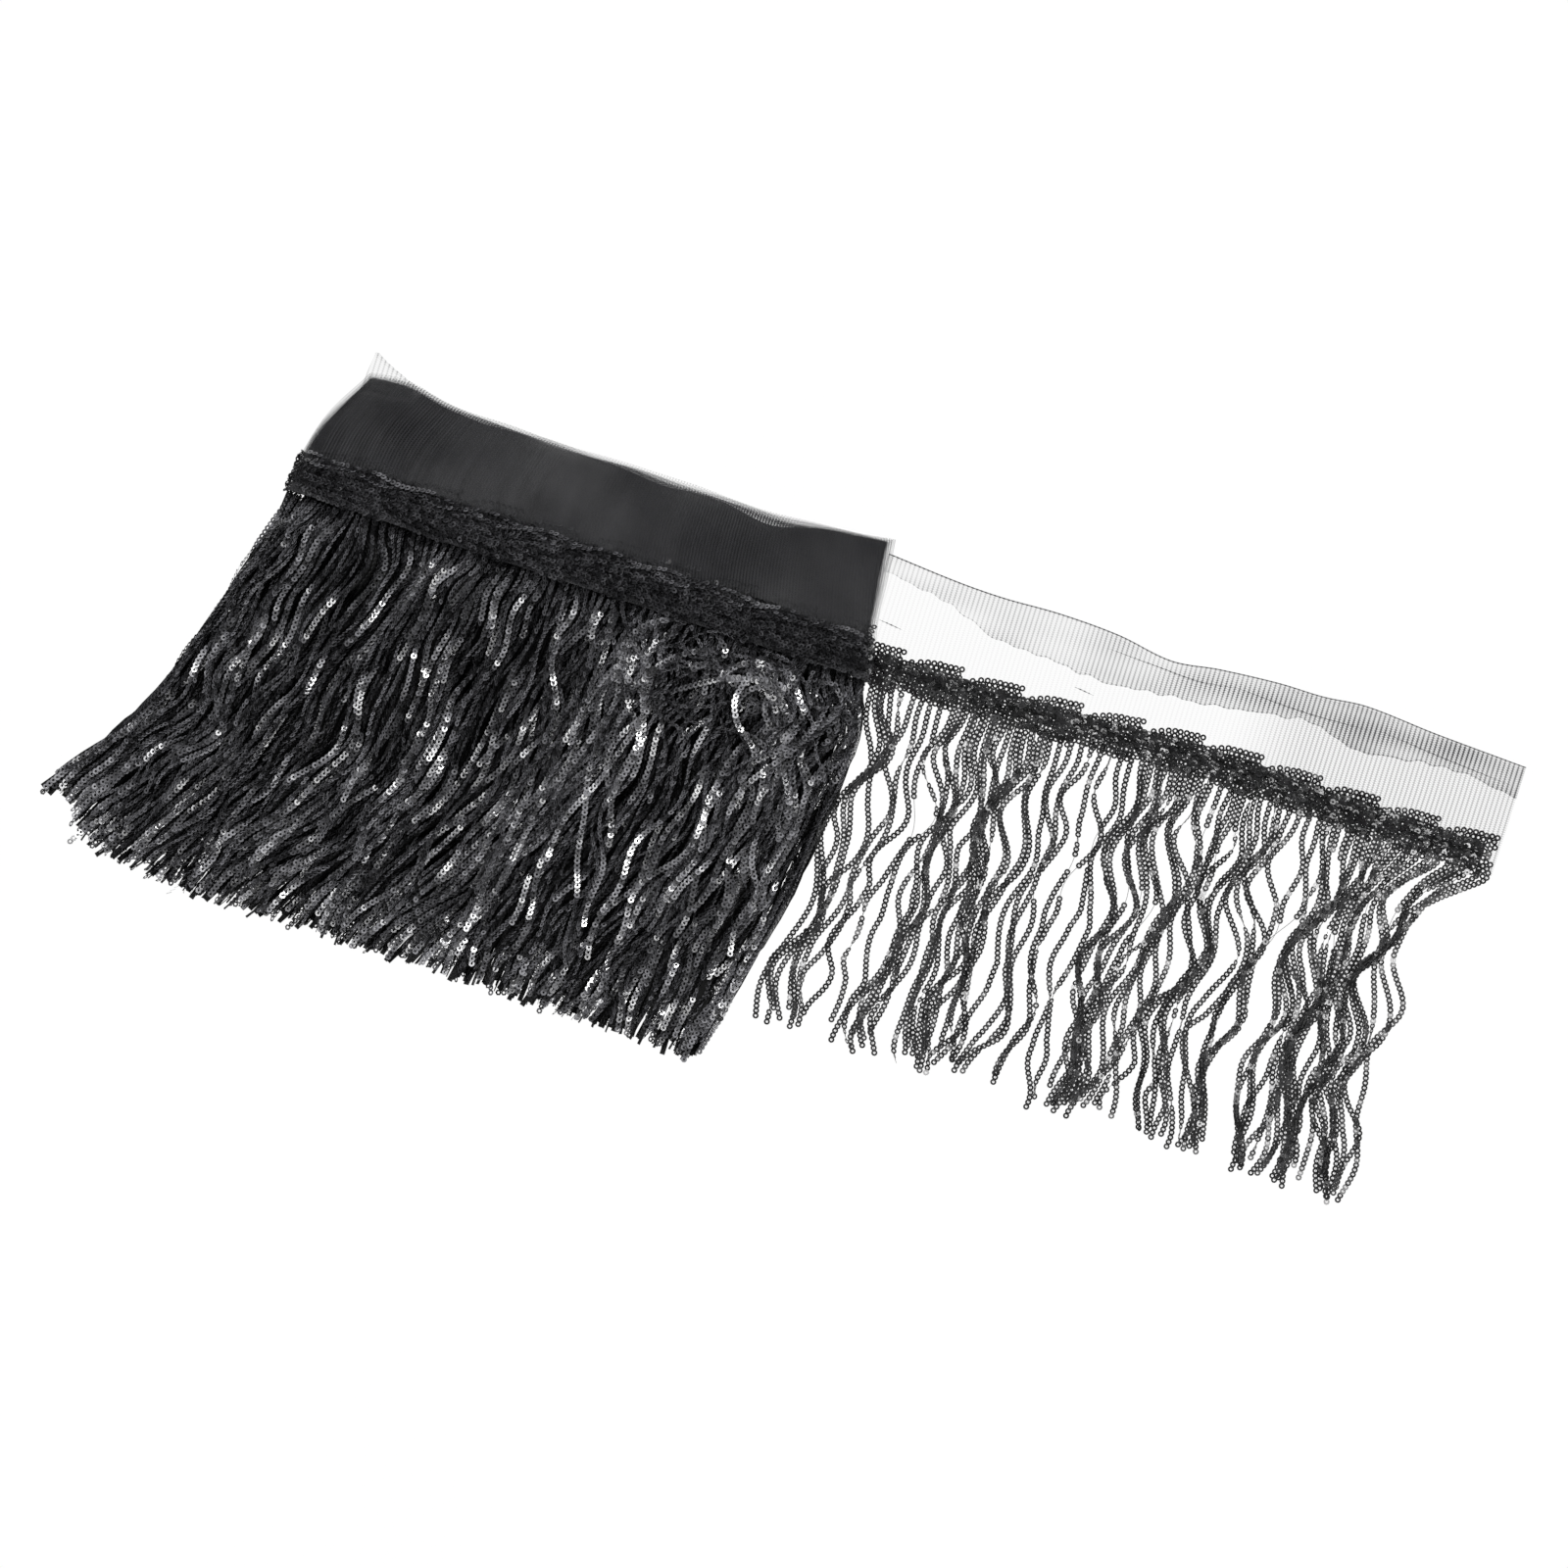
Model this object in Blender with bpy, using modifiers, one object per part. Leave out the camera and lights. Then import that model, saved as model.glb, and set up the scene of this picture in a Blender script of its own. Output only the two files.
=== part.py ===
"""Sequin fringe trim: a bolt wound flat, and its loose end laid out beside it.

Metres, +Z up. +X runs along the trim to its loose end and +Y towards the net's
selvage. The origin is on the floor, under the middle of the whole trim.
"""

import math
import random
from collections import namedtuple

import bmesh
import bpy

# The trim
LEAF_PITCH = 0.0302
LEAF_HALF_HEIGHT = 0.0108
LEAF_NOTCH = 0.0052
LEAF_LEAN = 0.8
TIP_PHASE = 0.83
STRIP_HALF_HEIGHT = 0.0116
NET_THICKNESS = 0.0009
SOLID_GAP = 0.0005

# The leaf's edge, from the notch behind it to its own tip: how far it has risen out of the notch
LeafEdge = namedtuple("LeafEdge", "phase risen")
LEAF_EDGE = (
    LeafEdge(0.00, 0.00),
    LeafEdge(0.20, 0.62),
    LeafEdge(0.40, 0.82),
    LeafEdge(0.62, 0.92),
    LeafEdge(0.83, 1.00),
    LeafEdge(1.00, 0.00),
)

# The bolt: its two sides and its height from the selvage down to the strands' tips
BoltRow = namedtuple("BoltRow", "y left right height")
BOLT_ROWS = (
    BoltRow(0.1283, -0.2513, 0.0143, 0.0100),
    BoltRow(0.1024, -0.2648, 0.0170, 0.0135),
    BoltRow(0.0845, -0.2700, 0.0190, 0.0165),
    BoltRow(0.0580, -0.2735, 0.0240, 0.0190),
    BoltRow(0.0340, -0.2795, 0.0278, 0.0185),
    BoltRow(0.0060, -0.2880, 0.0272, 0.0175),
    BoltRow(-0.0220, -0.2955, 0.0250, 0.0160),
    BoltRow(-0.0500, -0.3045, 0.0220, 0.0145),
    BoltRow(-0.0870, -0.3275, 0.0125, 0.0122),
    BoltRow(-0.1055, -0.3415, 0.0080, 0.0108),
    BoltRow(-0.1400, -0.3620, 0.0010, 0.0085),
)

# The bolt again, along its length: its selvage, the middle of its leaf band and its strands' tips
BoltColumn = namedtuple("BoltColumn", "x selvage spine tips")
BOLT_COLUMNS = (
    BoltColumn(-0.3410, 0.1270, 0.0733, -0.1090),
    BoltColumn(-0.3230, 0.1270, 0.0733, -0.1250),
    BoltColumn(-0.2820, 0.1270, 0.0733, -0.1355),
    BoltColumn(-0.2513, 0.1283, 0.0733, -0.1370),
    BoltColumn(-0.2308, 0.1297, 0.0730, -0.1360),
    BoltColumn(-0.2100, 0.1262, 0.0724, -0.1365),
    BoltColumn(-0.1867, 0.1245, 0.0718, -0.1370),
    BoltColumn(-0.0888, 0.1236, 0.0708, -0.1385),
    BoltColumn(-0.0387, 0.1228, 0.0702, -0.1400),
    BoltColumn(0.0143, 0.1281, 0.0697, -0.1405),
    BoltColumn(0.0280, 0.1281, 0.0694, -0.1380),
)

# The loose end: the middle of its leaf band, its folded selvage and the fold's free edge
LooseColumn = namedtuple("LooseColumn", "x spine fold flap")
LOOSE_COLUMNS = (
    LooseColumn(0.0160, 0.0687, 0.1218, 0.1130),
    LooseColumn(0.0515, 0.0687, 0.1188, 0.1065),
    LooseColumn(0.0745, 0.0689, 0.1181, 0.0981),
    LooseColumn(0.1030, 0.0692, 0.1190, 0.0963),
    LooseColumn(0.1330, 0.0700, 0.1177, 0.0938),
    LooseColumn(0.1612, 0.0716, 0.1135, 0.0965),
    LooseColumn(0.1845, 0.0728, 0.1165, 0.0982),
    LooseColumn(0.2143, 0.0722, 0.1188, 0.1026),
    LooseColumn(0.2363, 0.0714, 0.1190, 0.1048),
    LooseColumn(0.2578, 0.0706, 0.1209, 0.0989),
    LooseColumn(0.2920, 0.0696, 0.1184, 0.1030),
    LooseColumn(0.3139, 0.0693, 0.1172, 0.1039),
    LooseColumn(0.3400, 0.0691, 0.1159, 0.0995),
)

# The loose strands: how far the first and the last have moved sideways, and how much they sway
LooseRow = namedtuple("LooseRow", "y left_shift right_shift swing")
LOOSE_ROWS = (
    LooseRow(0.058, 0.0000, 0.0000, 0.0),
    LooseRow(0.034, 0.0030, -0.0260, 0.5),
    LooseRow(0.011, 0.0030, -0.0285, 0.9),
    LooseRow(-0.012, 0.0020, -0.0265, 1.0),
    LooseRow(-0.035, 0.0010, -0.0310, 1.0),
    LooseRow(-0.058, -0.0010, -0.0340, 1.0),
    LooseRow(-0.085, -0.0040, -0.0220, 1.0),
    LooseRow(-0.115, -0.0030, -0.0180, 1.0),
)
SIDE_SHARE = 0.28

# The wound net: its rings from the leaf band up, then its turns from the outermost in
NET_FRONT_Y = 0.0845
NET_BACK_Y = 0.1283
NET_COLUMNS = 24
NET_STATIONS = (0.0, 0.35, 0.7)
NET_END_STEPS = 4
TURN_PITCH = 0.0011
TURN_EDGES = (-0.0010, 0.0, -0.0026, -0.0006, -0.0032)
CORNER_LEFT = -0.2510
CORNER_RIGHT = -0.2300
CORNER_RISE = 0.0133
CORNER_LEAST_RISE = 0.0006

# The wound leaf band and its locks of strands
BAND_COLUMNS = 48
CELLS_A_LEAF = 5
LOCK_ROWS = 3
BAND_HEIGHT = 0.0190
LEAF_RELIEF = 0.0012
END_LOWEST = 0.34
END_HIGHEST = 0.66
NEXT_TO_END_HIGHEST = 0.93
VEIN_SHARE = 0.4
LEAN_FADE = 6.0
LOCK_STATIONS = (0.034, 0.003, -0.028, -0.062, -0.098, -0.145)
LOCK_WIDTH = 0.0047
LOCK_GAP = 0.0007
ROW_INSET = 0.0040
EDGE_SLUMP = 0.5
SLUMP_WIDTH = 0.030
LOCK_SWING = 0.0045
LOCK_SWING_START = 0.060
TIP_STAGGER = 0.0060
TIP_STEP = 0.0020
LEAST_STRETCH = 0.006

# The loose leaf band and its strands
LOOSE_END = 0.3315
CELLS_A_LOOSE_LEAF = 6
LOOSE_CELLS = 61
STRIP_THICKNESS = 0.0009
LOOSE_CROWN = 0.0020
LOOSE_SPINE = 0.0014
STRAND_WIDTH = 0.0024
STRAND_THICKNESS = 0.0011
STRAND_GAP = 0.0006
STRAND_SWING = 0.0042
BUNDLE_SWAY = 0.75
OWN_SWAY = 0.65
LOOSE_TIP = -0.1085
BAND_TUCK = 0.0012

# The loose net
LOOSE_NET_START = 0.0175
LOOSE_NET_END = 0.3405
LOOSE_NET_COLUMNS = 26
FOLD_RADIUS = 0.00075
NET_TUCK = 0.0005
NET_TUCK_SHARE = 0.08
FLOOR_CLEARANCE = 0.00001

WAVES = 5


def smooth_curve(places, values):
    """A smooth curve through values at rising or falling places, as a function."""
    if places[0] > places[-1]:
        places = places[::-1]
        values = values[::-1]
    last = len(places) - 1

    def slope(i):
        before = max(i - 1, 0)
        after = min(i + 1, last)
        return (values[after] - values[before]) / (places[after] - places[before])

    def value(at):
        at = min(max(at, places[0]), places[last])
        i = 0
        while i < last - 1 and at > places[i + 1]:
            i += 1
        span = places[i + 1] - places[i]
        t = (at - places[i]) / span
        rise = values[i + 1] - values[i]
        start = slope(i) * span
        end = slope(i + 1) * span
        return values[i] + t * start + t * t * (3 * rise - 2 * start - end) + t**3 * (start + end - 2 * rise)

    return value


def column_curve(rows, place, name):
    """The smooth curve of one named column of a table."""
    places = [getattr(row, place) for row in rows]
    values = [getattr(row, name) for row in rows]
    return smooth_curve(places, values)


bolt_left = column_curve(BOLT_ROWS, "y", "left")
bolt_right = column_curve(BOLT_ROWS, "y", "right")
bolt_height = column_curve(BOLT_ROWS, "y", "height")
bolt_selvage = column_curve(BOLT_COLUMNS, "x", "selvage")
bolt_spine = column_curve(BOLT_COLUMNS, "x", "spine")
bolt_tips = column_curve(BOLT_COLUMNS, "x", "tips")
loose_spine = column_curve(LOOSE_COLUMNS, "x", "spine")
loose_fold = column_curve(LOOSE_COLUMNS, "x", "fold")
loose_flap = column_curve(LOOSE_COLUMNS, "x", "flap")
loose_left_shift = column_curve(LOOSE_ROWS, "y", "left_shift")
loose_right_shift = column_curve(LOOSE_ROWS, "y", "right_shift")
loose_swing = column_curve(LOOSE_ROWS, "y", "swing")
leaf_rise = smooth_curve([edge.phase for edge in LEAF_EDGE], [edge.risen for edge in LEAF_EDGE])


def between(start, end, share):
    return start + (end - start) * share


def soft_step(share):
    share = min(max(share, 0.0), 1.0)
    return share * share * (3.0 - 2.0 * share)


class Waves:
    """Soft seeded noise over two directions, between about -1 and 1."""

    def __init__(self, seed, across, along):
        maker = random.Random(seed)
        self.terms = []
        for _ in range(WAVES):
            angle = maker.uniform(0.0, 2.0 * math.pi)
            pace = maker.uniform(0.6, 1.4)
            start = maker.uniform(0.0, 2.0 * math.pi)
            turn_across = 2.0 * math.pi * pace * math.cos(angle) / across
            turn_along = 2.0 * math.pi * pace * math.sin(angle) / along
            self.terms.append((turn_across, turn_along, start))

    def at(self, x, y):
        total = sum(math.sin(a * x + b * y + start) for a, b, start in self.terms)
        return total / math.sqrt(WAVES)


def leaf_edge_height(phase):
    """Half height of the leaf row at a place along one leaf, 0 at its base and 1 at the next."""
    phase = phase % 1.0
    if phase > TIP_PHASE:
        risen = (1.0 - phase) / (1.0 - TIP_PHASE)
    else:
        risen = leaf_rise(phase)
    return LEAF_HALF_HEIGHT - LEAF_NOTCH * (1.0 - risen)


def keep_apart(places, least, left, right):
    """Moves a row of rising places as little as it takes to stand them apart within two sides."""
    places = list(places)
    places[0] = max(places[0], left)
    for i in range(1, len(places)):
        places[i] = max(places[i], places[i - 1] + least)
    places[-1] = min(places[-1], right)
    for i in range(len(places) - 2, -1, -1):
        places[i] = min(places[i], places[i + 1] - least)
    return places


def skin(bm, rings):
    """Faces between closed rings of like points, by ring and by side."""
    rows = [[bm.verts.new(point) for point in ring] for ring in rings]
    sides = {}
    for i in range(len(rows) - 1):
        count = len(rows[i])
        for j in range(count):
            k = (j + 1) % count
            sides[i, j] = bm.faces.new((rows[i][j], rows[i][k], rows[i + 1][k], rows[i + 1][j]))
    return rows, sides


def corner_of(vertex, middle):
    """Which corner of a lock's end a vertex is: 0 and 1 below, 2 and 3 above, from the left and back."""
    if vertex.co.z < middle.z:
        return 0 if vertex.co.x < middle.x else 1
    return 3 if vertex.co.x < middle.x else 2


def grow_locks(bm, roots):
    """Draws each root face out through its lock's own sections."""
    lock_number = bm.faces.layers.int["lock"]
    for number, (face, _) in enumerate(roots):
        face[lock_number] = number + 1
    alive = [face for face, _ in roots]
    step = 0
    while alive:
        grown = bmesh.ops.extrude_discrete_faces(bm, faces=alive)["faces"]
        alive = []
        for face in grown:
            sections = roots[face[lock_number] - 1][1]
            middle = face.calc_center_median()
            corners = [corner_of(vertex, middle) for vertex in face.verts]
            for vertex, corner in zip(face.verts, corners):
                vertex.co = sections[step][corner]
            if step + 1 < len(sections):
                alive.append(face)
        step += 1


def section(x, y, low, high, width):
    """The four corners of a lock where it crosses a line along X."""
    half = width / 2.0
    return (
        (x - half, y, low),
        (x + half, y, low),
        (x + half, y, high),
        (x - half, y, high),
    )


def route_at(stations, places, y):
    """Where a route of straight stretches is at a height."""
    for i in range(len(stations) - 1):
        if y >= stations[i + 1]:
            share = (stations[i] - y) / (stations[i] - stations[i + 1])
            return between(places[i], places[i + 1], share)
    return places[-1]


def cut_to_length(stations, tip):
    """The stations that a strand passes, with its own tip as the last."""
    passed = [y for y in stations[1:] if y > tip + LEAST_STRETCH]
    return passed + [tip]


def meeting_tip(stations, places):
    """Where a route meets the line of the bolt's tips."""
    tip = bolt_tips(places[-1])
    for _ in range(4):
        tip = bolt_tips(route_at(stations, places, tip))
    return tip


def finish_object(name, bm, material, collection):
    bmesh.ops.recalc_face_normals(bm, faces=bm.faces)
    mesh = bpy.data.meshes.new(name)
    bm.to_mesh(mesh)
    bm.free()
    mesh.materials.append(material)
    piece = bpy.data.objects.new(name, mesh)
    collection.objects.link(piece)
    return piece


def plain_material(name, colour, roughness):
    material = bpy.data.materials.new(name)
    material.use_nodes = True
    shader = material.node_tree.nodes["Principled BSDF"]
    shader.inputs["Base Color"].default_value = (*colour, 1.0)
    shader.inputs["Roughness"].default_value = roughness
    shader.inputs["Metallic"].default_value = 0.0
    material.diffuse_color = (*colour, 1.0)
    return material


def band_back(x):
    """The bolt's line between its net and its leaf band."""
    return bolt_spine(x) + STRIP_HALF_HEIGHT


def turn_ring(share, inset, edge):
    """One ring round the wound net's section, at a share of the way to its selvage."""
    sides_y = between(NET_FRONT_Y, NET_BACK_Y, share)
    left = bolt_left(sides_y) + inset
    right = bolt_right(sides_y) - inset
    high = bolt_height(sides_y) - inset
    low = inset
    half = (high - low) / 2.0
    outline = []
    for i in range(NET_COLUMNS + 1):
        outline.append((between(left + half, right - half, i / NET_COLUMNS), high))
    for i in range(1, NET_END_STEPS):
        angle = math.pi * (0.5 - i / NET_END_STEPS)
        outline.append((right - half + half * math.cos(angle), low + half + half * math.sin(angle)))
    for i in range(NET_COLUMNS + 1):
        outline.append((between(right - half, left + half, i / NET_COLUMNS), low))
    for i in range(1, NET_END_STEPS):
        angle = math.pi * (1.5 - i / NET_END_STEPS)
        outline.append((left + half + half * math.cos(angle), low + half + half * math.sin(angle)))
    ring = []
    for x, z in outline:
        start = band_back(x) + SOLID_GAP
        ring.append((x, between(start, bolt_selvage(x), share) + edge, z))
    return ring


def lift_corner(bm, sides, wall):
    """Draws the net corner that sticks up out of the bolt's selvage."""
    faces = []
    for j in range(NET_COLUMNS):
        face = sides[wall, j]
        if face.calc_center_median().x < CORNER_RIGHT:
            faces.append(face)
    drawn = bmesh.ops.extrude_face_region(bm, geom=faces)["geom"]
    bmesh.ops.delete(bm, geom=faces, context="FACES_ONLY")
    for vertex in drawn:
        if isinstance(vertex, bmesh.types.BMVert):
            share = (CORNER_RIGHT - vertex.co.x) / (CORNER_RIGHT - CORNER_LEFT)
            vertex.co.y += between(CORNER_LEAST_RISE, CORNER_RISE, min(max(share, 0.0), 1.0))


def build_wound_net(material, collection):
    """The net of the bolt: one flat roll, its turns showing as ridges along the selvage."""
    bm = bmesh.new()
    rings = [turn_ring(share, 0.0, 0.0) for share in NET_STATIONS]
    for turn, edge in enumerate(TURN_EDGES):
        rings.append(turn_ring(1.0, TURN_PITCH * turn, edge))
    rows, sides = skin(bm, rings)
    bm.faces.new(rows[0])
    bm.faces.new(rows[-1])
    lift_corner(bm, sides, len(NET_STATIONS))
    return finish_object("wound_net", bm, material, collection)


def band_section(x_at, spine_at, edge_height, heights, wall_levels):
    """A ring round the leaf band at one place along it, from the front of its underside."""
    strip, crown, vein = heights
    foot = edge_height + 0.0001
    shoulder = edge_height - 0.0010
    levels = (
        (-STRIP_HALF_HEIGHT, wall_levels[0]),
        (0.0, wall_levels[0]),
        (STRIP_HALF_HEIGHT, wall_levels[0]),
        (STRIP_HALF_HEIGHT, strip),
        (foot, strip),
        (shoulder, crown),
        (0.0, vein),
        (-shoulder, crown),
        (-foot, strip),
        (-STRIP_HALF_HEIGHT, strip),
    )
    ring = []
    for across, z in levels:
        x = x_at(across)
        ring.append((x, spine_at(x) + across, z))
    for z in reversed(wall_levels[1:]):
        ring.append((*ring[0][:2], z))
    return ring


def close_band_end(bm, row):
    """Closes an end of the leaf band with two upright faces that meet at its vein."""
    back = [row[1], row[2], row[3], row[4], row[5], row[6]]
    front = [row[1], row[6], row[7], row[8], row[9]] + list(row[10:]) + [row[0]]
    bm.faces.new(back)
    bm.faces.new(front)


def bolt_column_place(column):
    """Where a column of the bolt's leaf band lies, for a distance across the band."""
    share = column / BAND_COLUMNS
    lean = LEAF_LEAN * soft_step(LEAN_FADE * share) * soft_step(LEAN_FADE * (1.0 - share))

    def x_at(across):
        y = bolt_spine(bolt_left(NET_FRONT_Y) * (1.0 - share)) + across
        return between(bolt_left(y), bolt_right(y), share) + lean * (abs(across) - 0.5 * STRIP_HALF_HEIGHT)

    return x_at


def pile_height(x, y):
    """The top of the heap of wound strands, lower towards its two sides."""
    side = min(x - bolt_left(y), bolt_right(y) - x)
    return bolt_height(y) * between(EDGE_SLUMP, 1.0, soft_step(side / SLUMP_WIDTH))


def build_wound_fringe(material, collection):
    """The bolt's leaf band, and three rows of locks that lie on each other below it."""
    bm = bmesh.new()
    bm.faces.layers.int.new("lock")
    rings = []
    for column in range(BAND_COLUMNS + 1):
        x_at = bolt_column_place(column)
        at_end = column in (0, BAND_COLUMNS)
        low = BAND_HEIGHT * END_LOWEST if at_end else 0.0
        high = BAND_HEIGHT * (END_HIGHEST if at_end else 1.0)
        if column in (1, BAND_COLUMNS - 1):
            high = BAND_HEIGHT * NEXT_TO_END_HIGHEST
        relief = 0.0 if at_end else LEAF_RELIEF
        walls = [between(low, high, row / LOCK_ROWS) for row in range(LOCK_ROWS)]
        heights = (high, high + relief, high + relief * VEIN_SHARE)
        edge_height = leaf_edge_height(column / CELLS_A_LEAF)
        rings.append(band_section(x_at, bolt_spine, edge_height, heights, walls))
    rows, sides = skin(bm, rings)
    close_band_end(bm, rows[0])
    close_band_end(bm, rows[-1])
    points = len(rings[0])
    roots = []
    for row in range(LOCK_ROWS):
        wall = points - 1 - row
        cells = [sides[column, wall] for column in range(BAND_COLUMNS)]
        roots.extend(zip(cells, bolt_locks(row, cells)))
    grow_locks(bm, roots)
    return finish_object("wound_fringe", bm, material, collection)


def bolt_locks(row, cells):
    """Sections of one row of the bolt's locks, from their root faces to their tips."""
    waves = Waves(11 + row, 0.110, 0.150)
    chance = random.Random(23 + row)
    starts = [face.calc_center_median() for face in cells]
    stations = (starts[0].y,) + LOCK_STATIONS
    lines = [[start.x for start in starts]]
    for y in stations[1:]:
        inset = ROW_INSET * row + LOCK_WIDTH / 2.0
        left = bolt_left(y) + inset
        right = bolt_right(y) - inset
        swing = LOCK_SWING * soft_step((starts[0].y - y) / LOCK_SWING_START)
        line = []
        for i in range(len(cells)):
            x = between(left, right, i / (len(cells) - 1))
            line.append(x + swing * waves.at(x, y))
        lines.append(keep_apart(line, LOCK_WIDTH + LOCK_GAP, left, right))
    locks = []
    for i in range(len(cells)):
        places = [line[i] for line in lines]
        tip = meeting_tip(stations, places) + TIP_STAGGER * chance.uniform(0.0, 1.0) + TIP_STEP * row
        sections = []
        for y in cut_to_length(stations, tip):
            x = route_at(stations, places, y)
            layer = pile_height(x, y) / LOCK_ROWS
            gap = LOCK_GAP / 2.0
            low = layer * row + (gap if row else 0.0)
            high = layer * (row + 1) - gap
            sections.append(section(x, y, low, high, LOCK_WIDTH))
        locks.append(sections)
    return locks


def loose_column_place(column):
    """Where a column of the loose leaf band lies, for a distance across the band."""
    along = LOOSE_END - LEAF_PITCH / CELLS_A_LOOSE_LEAF * (LOOSE_CELLS - column)
    share = column / CELLS_A_LOOSE_LEAF
    lean = LEAF_LEAN * soft_step(share)
    follow = 1.0 - soft_step(share)

    def x_at(across):
        y = loose_spine(along) + across
        tucked = bolt_right(y) - BAND_TUCK
        return between(along + lean * abs(across), tucked, follow)

    return x_at


def build_loose_fringe(material, collection):
    """The loose end's leaf band, flat on the floor, with its single strands."""
    bm = bmesh.new()
    bm.faces.layers.int.new("lock")
    rings = []
    for column in range(LOOSE_CELLS + 1):
        x_at = loose_column_place(column)
        heights = (STRIP_THICKNESS, LOOSE_CROWN, LOOSE_SPINE)
        phase = TIP_PHASE - (LOOSE_CELLS - column) / CELLS_A_LOOSE_LEAF
        edge_height = leaf_edge_height(phase)
        rings.append(band_section(x_at, loose_spine, edge_height, heights, (0.0,)))
    rows, sides = skin(bm, rings)
    close_band_end(bm, rows[0])
    close_band_end(bm, rows[-1])
    wall = len(rings[0]) - 1
    cells = [sides[column, wall] for column in range(LOOSE_CELLS)]
    grow_locks(bm, list(zip(cells, loose_strands(cells))))
    return finish_object("loose_fringe", bm, material, collection)


def loose_strands(cells):
    """Sections of the loose strands, which sway in pairs and clusters as they lie."""
    bundle = Waves(5, 0.060, 0.110)
    own = Waves(6, 0.017, 0.090)
    chance = random.Random(31)
    starts = [face.calc_center_median() for face in cells]
    first = starts[0].x
    last = starts[-1].x
    stations = [row.y for row in LOOSE_ROWS]
    lines = []
    for y in stations:
        swing = STRAND_SWING * loose_swing(y)
        left = max(first + loose_left_shift(y), bolt_right(y) + STRAND_WIDTH)
        right = last + loose_right_shift(y)
        line = []
        for i, start in enumerate(starts):
            share = (start.x - first) / (last - first)
            near_left = 1.0 - soft_step(share / SIDE_SHARE)
            near_right = soft_step((share - 1.0 + SIDE_SHARE) / SIDE_SHARE)
            x = start.x + (left - first) * near_left + (right - last) * near_right
            sway = BUNDLE_SWAY * bundle.at(start.x, y) + OWN_SWAY * own.at(start.x, y)
            line.append(x + swing * sway * soft_step(2.0 * i / CELLS_A_LOOSE_LEAF))
        lines.append(keep_apart(line, STRAND_WIDTH + STRAND_GAP, left, right + STRAND_SWING))
    strands = []
    for i, start in enumerate(starts):
        places = [line[i] for line in lines]
        tip = LOOSE_TIP + TIP_STAGGER * chance.uniform(-1.0, 1.0)
        stretch = [start.y] + list(stations[1:])
        sections = []
        for y in cut_to_length(stretch, tip):
            x = route_at(stations, places, y)
            sections.append(section(x, y, 0.0, STRAND_THICKNESS, STRAND_WIDTH))
        strands.append(sections)
    return strands


def build_loose_net(material, collection):
    """The loose end's net: one thin sheet, its selvage folded over onto it."""
    half = NET_THICKNESS / 2.0
    low = half + FLOOR_CLEARANCE
    bm = bmesh.new()
    rows = []
    for column in range(LOOSE_NET_COLUMNS + 1):
        share = column / LOOSE_NET_COLUMNS
        x = between(LOOSE_NET_START, LOOSE_NET_END, share)
        start = loose_spine(x) + STRIP_HALF_HEIGHT + SOLID_GAP
        bend = loose_fold(x) - half - FOLD_RADIUS
        lie = [(between(start, bend, third / 3.0), low) for third in range(3)]
        for step in range(5):
            angle = math.pi * (step / 4.0 - 0.5)
            lie.append((bend + FOLD_RADIUS * math.cos(angle), low + FOLD_RADIUS * (1.0 + math.sin(angle))))
        flap = loose_flap(x)
        high = low + 2.0 * FOLD_RADIUS
        lie += [(between(bend, flap, 0.5), high), (flap, high)]
        follow = 1.0 - soft_step(share / NET_TUCK_SHARE)
        line = []
        for y, z in lie:
            tucked = bolt_right(y) - NET_TUCK
            line.append(bm.verts.new((between(x, tucked, follow), y, z)))
        rows.append(line)
    for i in range(LOOSE_NET_COLUMNS):
        for j in range(len(rows[0]) - 1):
            bm.faces.new((rows[i][j], rows[i][j + 1], rows[i + 1][j + 1], rows[i + 1][j]))
    piece = finish_object("loose_net", bm, material, collection)
    thicken = piece.modifiers.new("thickness", "SOLIDIFY")
    thicken.thickness = NET_THICKNESS
    thicken.offset = 0.0
    thicken.use_even_offset = True
    return piece


def main():
    for old in list(bpy.data.objects):
        bpy.data.objects.remove(old, do_unlink=True)
    collection = bpy.data.collections.new("sequin_fringe_trim")
    bpy.context.scene.collection.children.link(collection)
    net = plain_material("black_net", (0.020, 0.020, 0.022), 0.8)
    sequins = plain_material("black_sequins", (0.012, 0.012, 0.014), 0.25)
    build_wound_net(net, collection)
    build_wound_fringe(sequins, collection)
    build_loose_net(net, collection)
    build_loose_fringe(sequins, collection)


main()
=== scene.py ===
"""Dresses the sequin fringe trim: sheer net, bands of sequin leaves and chains of sequins.

The trim lies as its solids lie: a bolt wound flat on the left and a loose end on the right, both on
the floor, with +X along the trim and +Y towards the net's selvage. Sizes are in metres.
"""

import math
import random
from collections import namedtuple

import bpy
import numpy as np
from bpy.props import FloatProperty, FloatVectorProperty, IntProperty, PointerProperty
from mathutils import Matrix, Vector


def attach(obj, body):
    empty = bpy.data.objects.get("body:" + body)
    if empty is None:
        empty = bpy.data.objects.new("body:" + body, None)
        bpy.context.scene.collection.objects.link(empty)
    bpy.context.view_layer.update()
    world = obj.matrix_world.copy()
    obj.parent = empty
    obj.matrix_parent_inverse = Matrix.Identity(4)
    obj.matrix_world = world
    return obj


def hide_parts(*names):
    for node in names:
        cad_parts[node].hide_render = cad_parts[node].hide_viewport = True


bl_info = {
    "name": "Sequin Fringe Trim",
    "version": (1, 0, 0),
    "blender": (4, 5, 0),
    "location": "3D View > Sidebar > Trim",
    "description": "Dresses a bolt of sequin fringe trim and its loose end",
    "category": "Add Mesh",
}

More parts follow.
